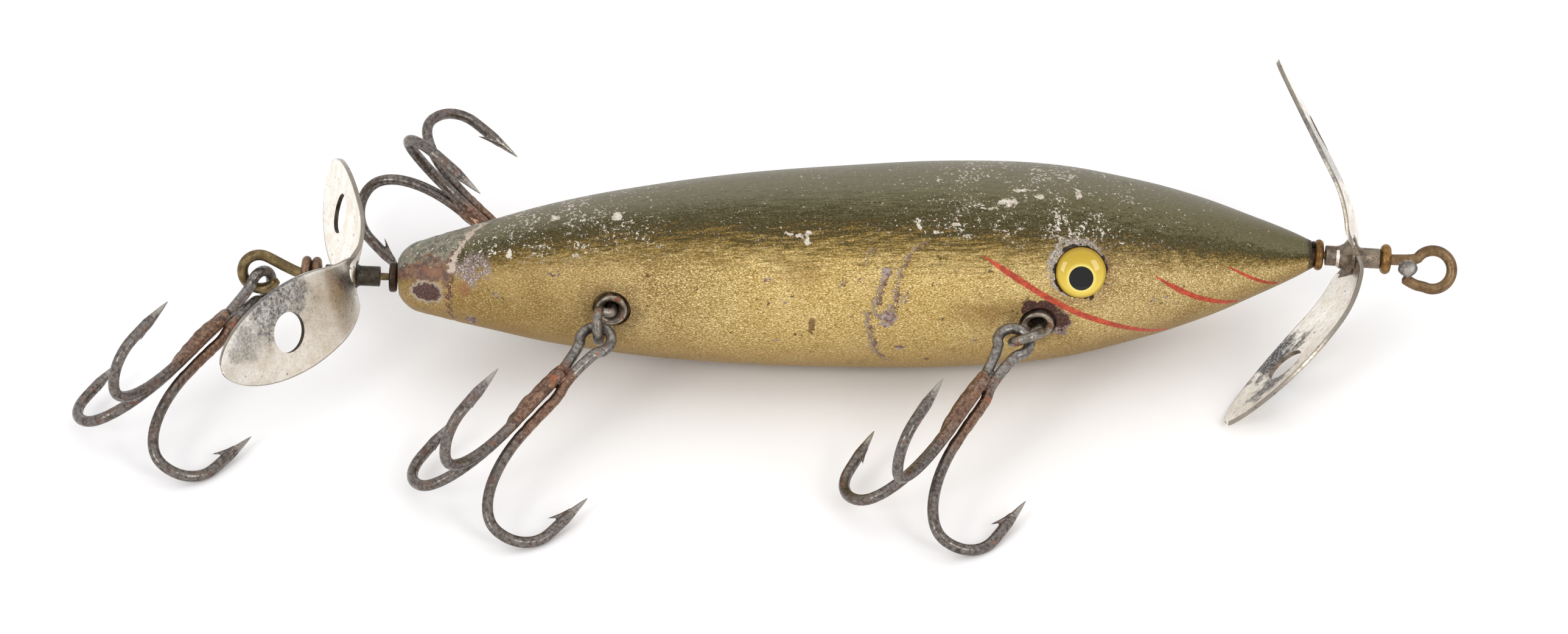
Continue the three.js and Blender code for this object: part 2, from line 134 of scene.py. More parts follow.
class Finish:
    """A material, and the steps that colour it. Each step gives the level that a later one reads."""

    def __init__(self, name, **plain):
        self.material = bpy.data.materials.new(name)
        self.material.use_nodes = True
        self.tree = self.material.node_tree
        self.wear(**plain)

    def join(self, node, inputs):
        """Sets or links a node's inputs. A colour is given as it is seen on a screen."""
        for key, value in inputs.items():
            socket = node.inputs[key]
            if isinstance(value, Level):
                self.tree.links.new(value.socket, socket)
            else:
                socket.default_value = tint(*value) if socket.type == "RGBA" else value

    def wear(self, **looks):
        """Sets the shader's own values, or joins it to the levels that the steps have made."""
        inputs = {key.replace("_", " ").title().replace("Ior", "IOR"): look for key, look in looks.items()}
        self.join(self.tree.nodes["Principled BSDF"], inputs)

    def step(self, kind, inputs=(), out=0, **settings):
        """Adds a shader node of this kind and gives one of its outputs."""
        node = self.tree.nodes.new("ShaderNode" + kind)
        for key, value in settings.items():
            setattr(node, key, value)
        self.join(node, dict(inputs))
        return Level(self, node.outputs[out])

    def maths(self, operation, *values):
        return self.step("Math", enumerate(values), operation=operation)

    def vector(self, operation, *values, out=0):
        return self.step("VectorMath", enumerate(values), out, operation=operation)

    def cloud(self, where, scale, detail=2.0, roughness=0.5, out=0):
        """Soft noise about a half, with its scale in lumps for each unit of the place."""
        inputs = {"Vector": where, "Scale": scale, "Detail": detail, "Roughness": roughness}
        return self.step("TexNoise", inputs, out)

    def cells(self, where, scale, out="Distance"):
        """Scattered cells: how far a place is from the middle of its own, or a colour for each."""
        return self.step("TexVoronoi", {"Vector": where, "Scale": scale}, out)

    def place(self, where, scale=(1, 1, 1), turn=(0, 0, 0), move=(0, 0, 0)):
        """The same place stretched, turned and moved."""
        return self.step("Mapping", {"Vector": where, "Scale": scale, "Rotation": turn, "Location": move})

    def shaken(self, where, amount, scale):
        """The same place pushed about a little, so that what is drawn there gets a ragged edge."""
        push = self.vector("SUBTRACT", self.cloud(where, scale, 3, out=1), (0.5, 0.5, 0.5))
        push = self.step("VectorMath", {0: push, "Scale": amount}, operation="SCALE")
        return self.vector("ADD", where, push)

    def specks(self, where, scale, size, share):
        """Scattered spots: a share of the cells hold one, and size is its radius as a share of a cell."""
        chance, width, _ = self.step("SeparateColor", {0: self.cells(where, scale, "Color")}).parts()
        radius = width.rise(0, 1, 0.35 * size, size)
        return (chance < share) * (self.cells(where, scale) - radius).rise(0.06, -0.06)

    def millimetres(self, turn=0.0):
        """Object coordinates in millimetres from the body's middle, turned about X."""
        turn = math.radians(turn)
        moved = Matrix.Rotation(turn, 3, "X") @ MIDDLE / MM
        return self.place(self.step("TexCoord", out="Object"), (1 / MM,) * 3, (turn, 0, 0), tuple(-moved))

    def bump(self, height, distance, strength):
        """Fine relief, its full height given in millimetres."""
        return self.step("Bump", {"Height": height, "Distance": distance * MM, "Strength": strength})


SHARP = math.radians(38)


def smoothed(mesh):
    """Smooth shading, but for the sharp edges."""
    mesh.shade_smooth()
    mesh.set_sharp_from_angle(angle=SHARP)
    return mesh


def mesh_of(name, form):
    """The finished mesh of a bmesh."""
    mesh = bpy.data.meshes.new(name)
    form.to_mesh(mesh)
    form.free()
    return smoothed(mesh)


def made(name, form, *materials):
    """A bmesh finished as a piece, in its materials."""
    piece = bpy.data.objects.new(name, mesh_of(name, form))
    bpy.context.scene.collection.objects.link(piece)
    for material in materials:
        piece.data.materials.append(material)
    return piece


sheet = Finish("table_white", base_color=(252, 251, 250), roughness=0.75)
table_form = bmesh.new()
bmesh.ops.create_grid(table_form, x_segments=8, y_segments=8, size=2.5)
table = made("table_top", table_form, sheet.material)

world = bpy.data.worlds.new("room")
world.use_nodes = True
room = world.node_tree.nodes["Background"].inputs
room["Color"].default_value = tint(250, 250, 252)
room["Strength"].default_value = 0.98
bpy.context.scene.world = world
for name, place, size, glow in (
        ("window_left", (-408, -486, 398), (0.21, 0.27), 6.0),
        ("window_right", (408, -486, 398), (0.21, 0.27), 6.0),
        ("ceiling", (0, 120, 900), (1.3, 1.0), 0.32)):
    light = bpy.data.lights.new(name, "AREA")
    light.shape = "RECTANGLE"
    light.size, light.size_y = size
    light.energy = glow * math.pi * size[0] * size[1]
    lamp = bpy.data.objects.new(name, light)
    lamp.location = spot(*place)
    lamp.rotation_euler = (MIDDLE - lamp.location).to_track_quat("-Z", "Y").to_euler()
    bpy.context.scene.collection.objects.link(lamp)


# The body is one piece of wood turned between centres to a long spindle, sanded, and painted. It is bored
# for the shafts at both ends and for the four hangers, with a shallow round socket for each glass eye.
# Stations are distance from the tail face and radius; a socket, seat or bore is radius and depth.
STATIONS = [
    (0.35, 2.5), (1, 3.15), (1.9, 3.65), (9.5, 5.68), (16.5, 7.37), (25, 8.78), (36.2, 9.97), (47.6, 10.54),
    (58.1, 10.73), (68.6, 10.06), (77.1, 8.29), (83.8, 6.29), (89.5, 4.03), (93.3, 2.41), (95.2, 1.45)]
TAIL_FACE = [(0, 0), (0, 0.95), (0, 1.9)]
NOSE_FACE = 0.7
BACK = 70
EYE_X = 23.0
EYE_ROUND = 80
EYE_SOCKET = (2.7, 1.9)
HANGERS = {
    "near_front": (18.5, 68.5), "near_rear": (-25.3, 80),
    "far_front": (18.5, -68.5), "far_rear": (-29.6, -68)}
SEAT = (1.98, 0.75)
SCREW_BORE = (0.8, 4.3)
SHAFT_BORE = (0.875, 5.3)


def body_radius(x):
    """The turned outline: a smooth curve through the stations, at millimetres from the body's middle."""
    along = min(max(x + HALF_BODY, STATIONS[0][0]), STATIONS[-1][0])
    i = max(n for n in range(len(STATIONS) - 1) if STATIONS[n][0] <= along)
    before, a, b, after = (STATIONS[min(max(n, 0), len(STATIONS) - 1)] for n in (i - 1, i, i + 1, i + 2))
    width = b[0] - a[0]
    t = (along - a[0]) / width
    start = (b[1] - before[1]) / (b[0] - before[0]) * width
    end = (after[1] - a[1]) / (after[0] - a[0]) * width
    return ((2 * t ** 3 - 3 * t ** 2 + 1) * a[1] + (t ** 3 - 2 * t ** 2 + t) * start
            + (3 * t ** 2 - 2 * t ** 3) * b[1] + (t ** 3 - t ** 2) * end)


def on_body(x, round_back):
    """A place on the painted surface: degrees are counted from the back, down the near side."""
    return spot(x, 0, 0) + across(BACK + round_back) * body_radius(x) * MM


def turned(form, profile, steps, origin, direction):
    """Turns a profile of (along, radius) in millimetres about a line, and closes it."""
    side = direction.orthogonal().normalized()
    points = [form.verts.new(origin + direction * along * MM + side * radius * MM)
              for along, radius in profile]
    edges = [form.edges.new(pair) for pair in zip(points, points[1:])]
    bmesh.ops.spin(form, geom=points + edges, cent=origin, axis=direction, angle=math.tau, steps=steps,
                   use_merge=True, use_duplicate=False)
    bmesh.ops.remove_doubles(form, verts=form.verts, dist=1e-7)
    bmesh.ops.recalc_face_normals(form, faces=form.faces)


def settled(piece):
    """Applies the piece's modifiers to its mesh."""
    bpy.context.view_layer.update()
    whole = piece.evaluated_get(bpy.context.evaluated_depsgraph_get())
    mesh = bpy.data.meshes.new_from_object(whole)
    piece.modifiers.clear()
    piece.data = smoothed(mesh)


def combined(piece, form, operation):
    """Joins another closed form to the piece, or cuts it away."""
    tool = made("tool", form)
    modifier = piece.modifiers.new(operation, "BOOLEAN")
    modifier.operation = operation
    modifier.solver = "EXACT"
    modifier.object = tool
    settled(piece)
    bpy.data.objects.remove(tool)


def spindle_profile(rows):
    """The outline in even steps, from the middle of the tail face to the middle of the nose face."""
    first, last = STATIONS[0][0], 2 * HALF_BODY
    steps = (first + (last - first) * i / rows for i in range(rows + 1))
    outline = ((along, body_radius(along - HALF_BODY)) for along in steps)
    return [*TAIL_FACE, *outline, (last, NOSE_FACE), (last, 0)]


def dent(x, round_back, radius, depth, point):
    """How far the surface sinks at a point, in a soft round dent."""
    away = (point - on_body(x, round_back)).length / MM
    return depth * (1 - min(away / radius, 1) ** 2) ** 2


BODY_ROWS, BODY_SIDES = 356, 250
TAIL_RING_X = -41.9
RING_GROOVE, GROOVE_HALF_WIDTH = 0.1, 0.22
RUBBED_TAIL = 0.05
UNEVEN = 0.03
# Each dent: place along the body, degrees round from the back, radius and depth
DENTS = [
    (-44.6, 97, 1.6, 0.13), (19.8, 103, 2.4, 0.22), (21.2, 108, 1.5, 0.2), (-5.6, 54, 0.8, 0.1),
    (-22, 118, 0.7, 0.12), (1.5, 96, 0.7, 0.1), (3.6, 118, 0.9, 0.1), (34, 100, 0.5, 0.08),
    (-31, -60, 1.1, 0.12), (12, -95, 1.4, 0.14), (-8, -120, 1.0, 0.12), (-12, 170, 1.3, 0.1),
    (28, 10, 0.8, 0.1), (-20, 5, 0.9, 0.1)]
DENT_REACH = 3

body_form = bmesh.new()
turned(body_form, spindle_profile(BODY_ROWS), BODY_SIDES, TAIL, ALONG)
body_form.normal_update()
for vertex in body_form.verts:
    x, y, z = (vertex.co - MIDDLE) / MM
    if abs(x) > HALF_BODY - 0.05:
        continue
    outward = Vector((0, y, z)).normalized()
    around = (math.degrees(math.atan2(z, y)) - BACK) % 360
    ring_x = TAIL_RING_X + 4.8 * max(0, 1 - min(around, 360 - around) / 66) ** 2
    worn = noise.noise(Vector((x, y, z)) * 1.1) + 0.5 * noise.noise(Vector((x, y, z)) * 2.6)
    sink = RING_GROOVE * math.exp(-((x - ring_x) / GROOVE_HALF_WIDTH) ** 2) * (0.7 + worn)
    sink += RUBBED_TAIL * (1 / (1 + math.exp((x - ring_x) * 5))) * (0.6 + worn)
    sink += UNEVEN * noise.noise(Vector((x * 0.12, y * 0.4, z * 0.4)))
    near = [place for place in DENTS if abs(x - place[0]) < DENT_REACH]
    sink += sum(dent(*place, vertex.co) * (0.75 + 0.5 * worn) for place in near)
    vertex.co -= outward * sink * MM
body = made("painted_body", body_form)

bores = bmesh.new()
for origin, direction in ((NOSE, -NOSE_LINE), (TAIL, TAIL_LINE)):
    radius, depth = SHAFT_BORE
    turned(bores, [(-1, 0), (-1, radius), (depth, radius), (depth, 0)], 32, origin, direction)
for x, from_belly in HANGERS.values():
    (seat, floor), (screw, depth) = SEAT, SCREW_BORE
    step_profile = [(-1, 0), (-1, seat), (floor, seat), (floor, screw), (depth, screw), (depth, 0)]
    turned(bores, step_profile, 48, on_body(x, 180 - from_belly), -across(BACK + 180 - from_belly))
for side in (EYE_ROUND, -EYE_ROUND):
    socket, depth = EYE_SOCKET
    turned(bores, [(-2, 0), (-2, socket), (depth, socket), (depth, 0)], 64, on_body(EYE_X, side),
           -across(BACK + side))
combined(body, bores, "DIFFERENCE")

# The paint: gold lacquer with a fine metal grain over the sides and belly, and an olive green brushed over
# the back. It is chipped white on the back, scuffed purple-brown on the sides and worn through at the tail.
GILLS = [
    ((13.0, 69), (16.7, 83), (21.4, 101.5), (26.4, 120.5), (32.3, 150)),
    ((30.8, 86), (34.9, 109), (37.4, 124.5), (39.6, 141)),
    ((38.6, 84.5), (40.9, 102.5), (43.9, 136))]
GILL_HALF_WIDTHS = (0.31, 0.28, 0.17)
EDGE_OF_BACK = [(-47, 0.42), (-41, 0.47), (-35, 0.61), (-28, 0.63), (-10, 0.58), (9, 0.51), (25, 0.43),
                (37, 0.32), (43, 0.16), (47, 0.06)]

paint = Finish("body_paint", coat_weight=0.04, coat_roughness=0.2, specular_ior_level=0.18)
on = paint.millimetres(turn=90 - BACK)
x_mm, y_mm, z_mm = paint.step("SeparateXYZ", {0: on}).parts()
from_axis = (y_mm ** 2.0 + z_mm ** 2.0).root()
degrees = paint.maths("DEGREES", paint.maths("ARCTAN2", y_mm * -1.0, z_mm))
down = abs(degrees)
height = z_mm / from_axis
ragged = paint.shaken(on, 3.2, 0.8)
crumbled = paint.shaken(on, 1.1, 2.4)
streaks = paint.cloud(paint.place(on, (0.09, 1, 1)), 2.6, 5, 0.65)
fine_streaks = paint.cloud(paint.place(on, (0.1, 1, 1)), 8.0, 4, 0.7)
grain = paint.cloud(on, 5.5, 4, 0.75)
mottle = paint.cloud(on, 1.5, 5, 0.75)
metal_grain = paint.cloud(paint.place(on, (0.45, 1, 1)), 11.0, 2, 0.6)


def drawn_curve(level, points, low, high):
    """The smooth curve through a few points, read at a level; it runs between low and high."""
    finish = level.finish
    start, end = points[0][0], points[-1][0]
    share = finish.step("MapRange", {0: level, 1: start, 2: end, 3: 0.0, 4: 1.0})
    curve = finish.step("FloatCurve", {0: 1.0, 1: share})
    mapping = curve.socket.node.mapping
    line = mapping.curves[0].points
    places = [((x - start) / (end - start), (y - low) / (high - low)) for x, y in points]
    line[0].location, line[-1].location = places[0], places[-1]
    for place in places[1:-1]:
        line.new(*place)
    mapping.update()
    return finish.step("MapRange", {0: curve, 1: 0.0, 2: 1.0, 3: low, 4: high})


def patch(x, round_back, half_length, half_width, edge=0.3, where=ragged):
    """A ragged oval on the body: millimetres along it, and degrees round from the back."""
    angle = math.radians(round_back)
    middle = Vector((x, -math.sin(angle) * body_radius(x), math.cos(angle) * body_radius(x)))
    away = paint.vector("SUBTRACT", where, middle)
    away = paint.vector("MULTIPLY", away, (1 / half_length, 1 / half_width, 1 / half_width))
    return paint.vector("LENGTH", away, out=1).rise(1 + edge, 1 - edge)


def scratch(points, half_width):
    """A scratch down the near side through places in degrees and millimetres, broken and uneven."""
    along = [x for _, x in points]
    middle = drawn_curve(degrees, points, min(along) - 1, max(along) + 1)
    away = abs(x_mm + mottle.rise(0, 1, -1.2, 1.2) - middle)
    width = grain.rise(0.36, 0.6, -0.06, half_width)
    start, end = points[0][0], points[-1][0]
    ends = degrees.rise(start - 1, start + 1) * degrees.rise(end + 1, end - 1)
    return (away - width).rise(0.06, -0.04) * ends


def most(*levels):
    """The greatest of the levels at each place."""
    whole = levels[0]
    for level in levels[1:]:
        whole = level.finish.maths("MAXIMUM", whole, level)
    return whole


# Gold: brightest amidships, with lengthwise brush lines, a fine metal grain and small dark pits. Painted
# shade darkens it down towards the belly
to_ends = abs(x_mm - 3.0).rise(9, 27)
gold = to_ends.mix((182, 153, 86), (138, 114, 64))
gold = paint.cloud(on, 0.16, 3).rise(0.4, 0.65, 0, 0.5).mix(gold, (204, 178, 118))
gold = streaks.rise(0.45, 0.75, 0, 0.5).mix(gold, (160, 128, 62))
gold = metal_grain.rise(0.52, 0.64, 0, 0.85).mix(gold, (240, 218, 164))
gold = metal_grain.rise(0.48, 0.34, 0, 0.8).mix(gold, (104, 74, 30))
gold = x_mm.rise(-12, -36, 0, 0.5).mix(gold, (134, 106, 52))
gold = fine_streaks.rise(0.52, 0.75, 0, 0.4).mix(gold, (133, 104, 52))
# Painted shade: the gold darkens down the lower side towards the belly
gold = down.rise(104, 156, 0, 0.7).mix(gold, (134, 103, 46))
stains = most(paint.cloud(on, 0.42, 5, 0.7).rise(0.57, 0.7, 0, 0.45),
              patch(-5.6, 75, 2.2, 1.2, 0.7) * 0.4, patch(13.4, 101, 3.2, 1.5, 0.8) * 0.6)
gold = stains.mix(gold, (128, 94, 46))
pits = paint.specks(crumbled, 0.6, 0.13, 0.42)
gold = (pits * 0.85).mix(gold, (64, 44, 34))
black_dots = paint.cloud(on, 2.1, 1, 0.5).rise(0.755, 0.775)
gold = (black_dots * 0.8).mix(gold, (46, 34, 26))

# Olive back: its lower edge is brushed out in lengthwise streaks, darkest where it thins over the gold. A
# painted sheen lightens it along the top
edge = drawn_curve(x_mm, EDGE_OF_BACK, 0, 1)
over_edge = (height - edge + streaks.rise(0.2, 0.8, -0.13, 0.13) + fine_streaks.rise(0.2, 0.8, -0.12, 0.12)
             + grain.rise(0.2, 0.8, -0.12, 0.12))
olive = over_edge.rise(0.04, 0.2).mix((52, 38, 4), (60, 54, 20))
olive = over_edge.rise(0.16, 0.42).mix(olive, (96, 90, 62))
# Painted sheen: the olive turns lighter and greyer along the top of the back
olive = height.rise(0.8, 1.0, 0, 0.8).mix(olive, (114, 108, 88))
olive = (fine_streaks.rise(0.5, 0.7) * over_edge.rise(0.2, 0.06) * 0.55).mix(olive, (120, 98, 24))
olive = fine_streaks.rise(0.5, 0.32, 0, 0.45).mix(olive, (52, 48, 26))
olive = metal_grain.rise(0.5, 0.66, 0, 0.3).mix(olive, (146, 140, 112))
mustard = fine_streaks.rise(0.4, 0.6).mix((118, 92, 30), (86, 70, 20))
cover = over_edge.rise(-0.36, 0.0, 0, 0.85).mix(gold, mustard)
cover = over_edge.rise(-0.12, 0.1).mix(cover, olive)

# The hollow by the front hanger, bare dark wood with the ground lifting at its edge, and dirt round the
# hangers and the eyes
for x, from_belly in HANGERS.values():
    dirt = patch(x, 180 - from_belly, 3.1, 2.6, 0.5) * grain.rise(0.3, 0.6, 0, 0.75)
    cover = dirt.mix(cover, (84, 60, 42))
hollow = most(patch(18.6, 103, 1.9, 1.7, 0.12), patch(20.1, 110, 1.7, 1.3, 0.12)) * mottle.rise(0.3, 0.38)
hollow_edge = patch(20.4, 112, 1.6, 1.6, 0.14)
lifting = grain.rise(0.45, 0.58).mix((104, 78, 72), (156, 142, 134))
cover = hollow_edge.mix(cover, lifting)
cover = hollow.mix(cover, grain.rise(0.5, 0.64).mix((62, 38, 30), (112, 80, 68)))
for side in (EYE_ROUND, -EYE_ROUND):
    stain = patch(EYE_X + 0.3, side * 1.04, 3.5, 3.5, 0.2) * grain.rise(0.42, 0.6, 0, 0.7)
    cover = stain.mix(cover, (124, 88, 62))
    rim = patch(EYE_X - 0.42, side * 0.96, 3.1, 3.1, 0.08, crumbled) * mottle.rise(0.38, 0.5)
    rim_colour = grain.rise(0.46, 0.58).mix((124, 112, 102), (188, 180, 168))
    cover = rim.mix(cover, rim_colour)
    crack = patch(EYE_X, side, 2.85, 2.85, 0.04)
    cover = crack.mix(cover, (46, 34, 28))

# Red gill strokes, each laid with one pull of a fine brush. They run aslant, so they are narrower across
# than they measure round the body.
SLANT = 0.8
for points, half_width in zip(GILLS, GILL_HALF_WIDTHS):
    start, end = points[0][0], points[-1][0]
    middle = drawn_curve(x_mm, points, 0, 180)
    away = abs(degrees - middle) * from_axis * (math.pi / 180 * SLANT) + grain.rise(0, 1, -0.1, 0.1)
    width = x_mm.rise(start, start + 2.5, 0.1, half_width)
    stroke = (away - width).rise(0.05, -0.05)
    ends = (x_mm > start) * (x_mm < end)
    red = mottle.rise(0.4, 0.6).mix((196, 84, 58), (152, 62, 46))
    cover = (stroke * ends * grain.rise(0.76, 0.68)).mix(cover, red)

# Chips down to the white ground on the back, thickest towards the tail and above the eye. The flakes that
# stand out are placed one by one: along the body, degrees round, half length and half width.
FLAKES = [
    (15.8, 36.8, 1.1, 0.42), (13.8, 40.7, 0.8, 0.2), (17.2, 27.7, 0.9, 0.25), (19.1, 32.3, 0.45, 0.3),
    (20.8, 45.4, 0.32, 0.25), (23.1, 28.0, 0.3, 0.8), (6.5, 49.5, 0.3, 0.65), (8.4, 55.2, 0.6, 0.18),
    (10.3, 50.5, 0.6, 0.2), (27.3, 61.0, 0.4, 0.15), (-24.5, 30.0, 0.5, 0.6), (-31.0, 22.0, 0.8, 0.3),
    (-6.8, 52.9, 0.45, 0.28), (-5.8, 54.6, 0.45, 0.22), (-4.9, 53.0, 0.42, 0.32), (-5.0, 57.6, 0.28, 0.5)]
chip_zone = drawn_curve(x_mm, [(-47, 0.8), (-38, 1.0), (-24, 0.8), (-14, 0.3), (0, 0.3), (8, 0.65),
                               (20, 1.0), (30, 0.55), (38, 0.2), (47, 0.0)], 0, 1)
chip_zone = chip_zone * paint.cloud(on, 0.3, 3, 0.6).rise(0.3, 0.62, 0.25, 1.15)
on_back = height.rise(0.34, 0.6)
lift = paint.cloud(paint.place(on, (0.75, 1, 1)), 1.7, 5, 0.8)
dots = paint.cloud(on, 2.7, 3, 0.72)
large = (lift + chip_zone * 0.12).rise(0.7, 0.712)
small = (dots + chip_zone * 0.1).rise(0.682, 0.694)
flakes = most(*(patch(*place, 0.2, crumbled) for place in FLAKES)) * grain.rise(0.34, 0.42)
chips = most(most(large, small) * on_back, flakes)
cover = chips.mix(cover, mottle.rise(0.4, 0.6).mix((180, 164, 146), (212, 206, 192)))

# Scuffs on the sides: a long purple-brown scrape amidships, drawn through degrees round and places along,
# and small scattered marks
SCRATCHES = [
    ([(60.3, 7.2), (67.7, 5.5), (78.6, 4.5), (96.4, 3.7), (102, 3.3)], 0.3),
    ([(74.3, 3.5), (81.8, 2.7), (93.2, 2.1), (98, 1.8), (105, 3.0)], 0.42),
    ([(99.2, 1.0), (106.4, 1.1), (123.7, 1.6), (131.2, 2.0), (141, 3.2)], 0.4),
    ([(85.7, 5.5), (89.9, 5.0), (94.2, 4.8)], 0.2), ([(62.7, 2.0), (67.1, 1.3), (72.6, 0.8)], 0.16),
    ([(77.2, -1.4), (80.6, -1.5), (84.9, -1.6)], 0.15)]
MARKS = [
    (3.2, 102.5, 0.9, 0.8), (2.9, 107.5, 0.8, 0.35), (4.3, 125, 0.5, 0.35), (3.1, 76.5, 0.5, 0.6),
    (-9.3, 79.6, 0.32, 0.22), (-9.2, 94, 0.16, 0.16), (-7.5, 93, 0.26, 0.16), (-8.4, 119.7, 0.26, 0.16),
    (-0.8, 102.4, 0.2, 0.12), (0.3, 80.4, 0.2, 0.2), (12.1, 121.2, 0.32, 0.18), (30.5, 105.4, 0.3, 0.2),
    (32.0, 104.6, 0.16, 0.13), (33.2, 113.4, 0.2, 0.15), (-31.3, 73.7, 0.9, 0.15), (-37.2, 94.2, 0.3, 0.3),
    (-40.0, 136, 0.6, 0.8), (-22.2, -86, 0.4, 0.3), (8.5, -102, 0.9, 0.3), (-11.0, 150, 0.5, 0.3)]
scrape = most(*(scratch(*lines) for lines in SCRATCHES),
              *(patch(*place, 0.25, crumbled) for place in MARKS))
scrape = scrape * grain.rise(0.34, 0.42)
purple = mottle.rise(0.42, 0.6).mix((104, 74, 68), (160, 146, 138))
cover = scrape.mix(cover, purple)
comma = patch(-4.75, 108.5, 0.34, 1.05, 0.25, crumbled)
cover = (comma * 0.8).mix(cover, (98, 66, 36))

# The tail: rubbed grey and red-brown behind a broken ring line, with one bare dark oval
ring_bend = drawn_curve(down, [(0, -38.5), (17, -39.8), (34, -40.8), (52, -41.5), (71, -41.9),
                               (120, -42.2), (150, -41.9), (180, -41.5)], -43, -36)
from_ring = x_mm - ring_bend + mottle.rise(0, 1, -1.1, 1.1)
around = down + paint.cloud(on, 0.9, 5, 0.7).rise(0, 1, -38, 38)
behind = from_ring.rise(0.4, -0.6)
tail_top = mottle.rise(0.42, 0.6).mix((92, 92, 76), (152, 150, 138))
tail_top = dots.rise(0.6, 0.64).mix(tail_top, (206, 202, 192))
tail_side = mottle.rise(0.42, 0.56).mix((92, 66, 62), (128, 98, 80))
tail_paint = around.rise(40, 56).mix(tail_top, tail_side)
cover = (behind * around.rise(92, 76) * 0.92).mix(cover, tail_paint)
cover = (behind * mottle.rise(0.45, 0.62) * 0.5).mix(cover, (122, 96, 64))
crackle = patch(-39.6, 66, 1.9, 1.5, 0.35) * mottle.rise(0.38, 0.5)
crackle_colour = grain.rise(0.52, 0.6).mix((118, 100, 94), (200, 192, 184))
cover = crackle.mix(cover, crackle_colour)
thread = most(patch(-37.1, 49.5, 1.3, 0.16, 0.3, crumbled), patch(-35.8, 52.5, 0.3, 0.4, 0.3, crumbled))
cover = thread.mix(cover, (208, 200, 184))
rust = most(patch(-40.7, 89, 0.95, 0.8, 0.25), patch(-43.8, 66, 1.0, 0.7, 0.3)) * grain.rise(0.36, 0.46)
cover = (rust * 0.55).mix(cover, (136, 84, 62))
upper = down.rise(72, 66)
wide_line = paint.cloud(on, 0.9, 4, 0.6).rise(0.36, 0.62, 0, 0.32)
line_width = upper * wide_line + 0.14
line = (abs(from_ring) - line_width).rise(0.1, -0.08)
line = line * grain.rise(0.3, 0.4) * down.rise(152, 140)
line_colour = upper.mix((86, 54, 50), (190, 172, 154))
cover = line.mix(cover, line_colour)
oval_rim = patch(-44.6, 97, 1.95, 1.3, 0.15, crumbled) * grain.rise(0.36, 0.44)
oval = patch(-44.55, 97, 1.6, 1.0, 0.12, crumbled)
cover = oval_rim.mix(cover, (162, 148, 130))
cover = oval.mix(cover, grain.rise(0.42, 0.62).mix((70, 46, 42), (104, 80, 74)))
# Painted shade: the nose tip darkens to near black where it meets the nose ring, in the gap between them
cover = (x_mm + grain.rise(0, 1, -0.4, 0.4)).rise(46.9, 47.4, 0, 0.85).mix(cover, (44, 34, 28))

bare = most(chips, scrape, hollow, oval, rim * 0.6)
relief = grain * 0.45 - bare + fine_streaks * 0.5 - pits * 0.6
paint.wear(base_color=cover, normal=paint.bump(relief, 0.06, 0.8),
           roughness=grain.rise(0.3, 0.7, 0.34, 0.5) + bare * 0.25,
           metallic=most(bare, behind).rise(0.0, 1.0, 0.2, 0.0))
body.data.materials.append(paint.material)
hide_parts("body")
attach(body, "lure")


# The eyes are domed buttons of yellow glass with a black pupil, pressed into their sockets. The pupils sit
# a little low, towards the belly.
EYE_RADIUS = 2.62
EYE_DOME = 0.85
EYE_PROUD = 0.05
EYE_STEM = [(-1.55, 0), (-1.55, 2.0), (-1.45, 2.1)]
DOME_ROWS = 18
PUPIL = 1.26
PUPIL_LOW = 0.5
glass = Finish("eye_glass", roughness=0.06, coat_weight=0.8, coat_roughness=0.02, coat_ior=1.5,
               specular_ior_level=0.0)
wide, low, _ = glass.step("SeparateXYZ", {0: glass.step("UVMap", uv_map="face")}).parts()
below = low - PUPIL_LOW
from_pupil = (wide * wide + below * below).root()
from_middle = (wide * wide + low * low).root()
# Painted light: the yellow is lighter towards the bottom of the eye and deeper at the top, as light falls
# through the glass dome
iris = low.rise(-2.6, 1.8).mix((176, 146, 36), (214, 186, 72))
iris = from_pupil.rise(1.7, 1.2, 0, 0.8).mix(iris, (234, 218, 126))
iris = from_middle.rise(2.2, EYE_RADIUS, 0, 0.8).mix(iris, (146, 114, 30))
pupil = from_pupil.rise(PUPIL + 0.03, PUPIL - 0.03)
glass.wear(base_color=pupil.mix(iris, (10, 8, 7)))
for name, side in (("eye_near", EYE_ROUND), ("eye_far", -EYE_ROUND)):
    outward = across(BACK + side)
    down = across(BACK + side + math.copysign(90, side))
    turns = (math.pi / 2 * i / DOME_ROWS for i in range(DOME_ROWS))
    dome = [(EYE_PROUD + EYE_DOME * math.sin(t), EYE_RADIUS * math.cos(t)) for t in turns]
    button = bmesh.new()
    turned(button, [*EYE_STEM, (-0.7, EYE_RADIUS), *dome, (EYE_PROUD + EYE_DOME, 0)], 72,
           on_body(EYE_X, side), outward)
    face_map = button.loops.layers.uv.new("face")
    for corner in (corner for square in button.faces for corner in square.loops):
        offset = (corner.vert.co - on_body(EYE_X, side)) / MM
        corner[face_map].uv = (offset.dot(ALONG), offset.dot(down))
    eye = made(name + "_glass", button, glass.material)
    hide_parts(name)
    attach(eye, "lure")


# The nose and tail shafts are stiff brass wire driven into the wood, each with its free end bent round into
# a loop. A drop of solder closes the line tie's loop at the nose.
WIRE = 1.15
WIRE_SIDES = 28
TIE_STEP = 0.22
LINE_LOOP, TAIL_LOOP = 2.0, 1.85
DROP_INSIDE = (0.96, 0.91, 0.66)


def between(first, second, start, end, t):
    """The point on a line through two points that are reached at start and at end."""
    return first + (second - first) * (t - start) / (end - start)


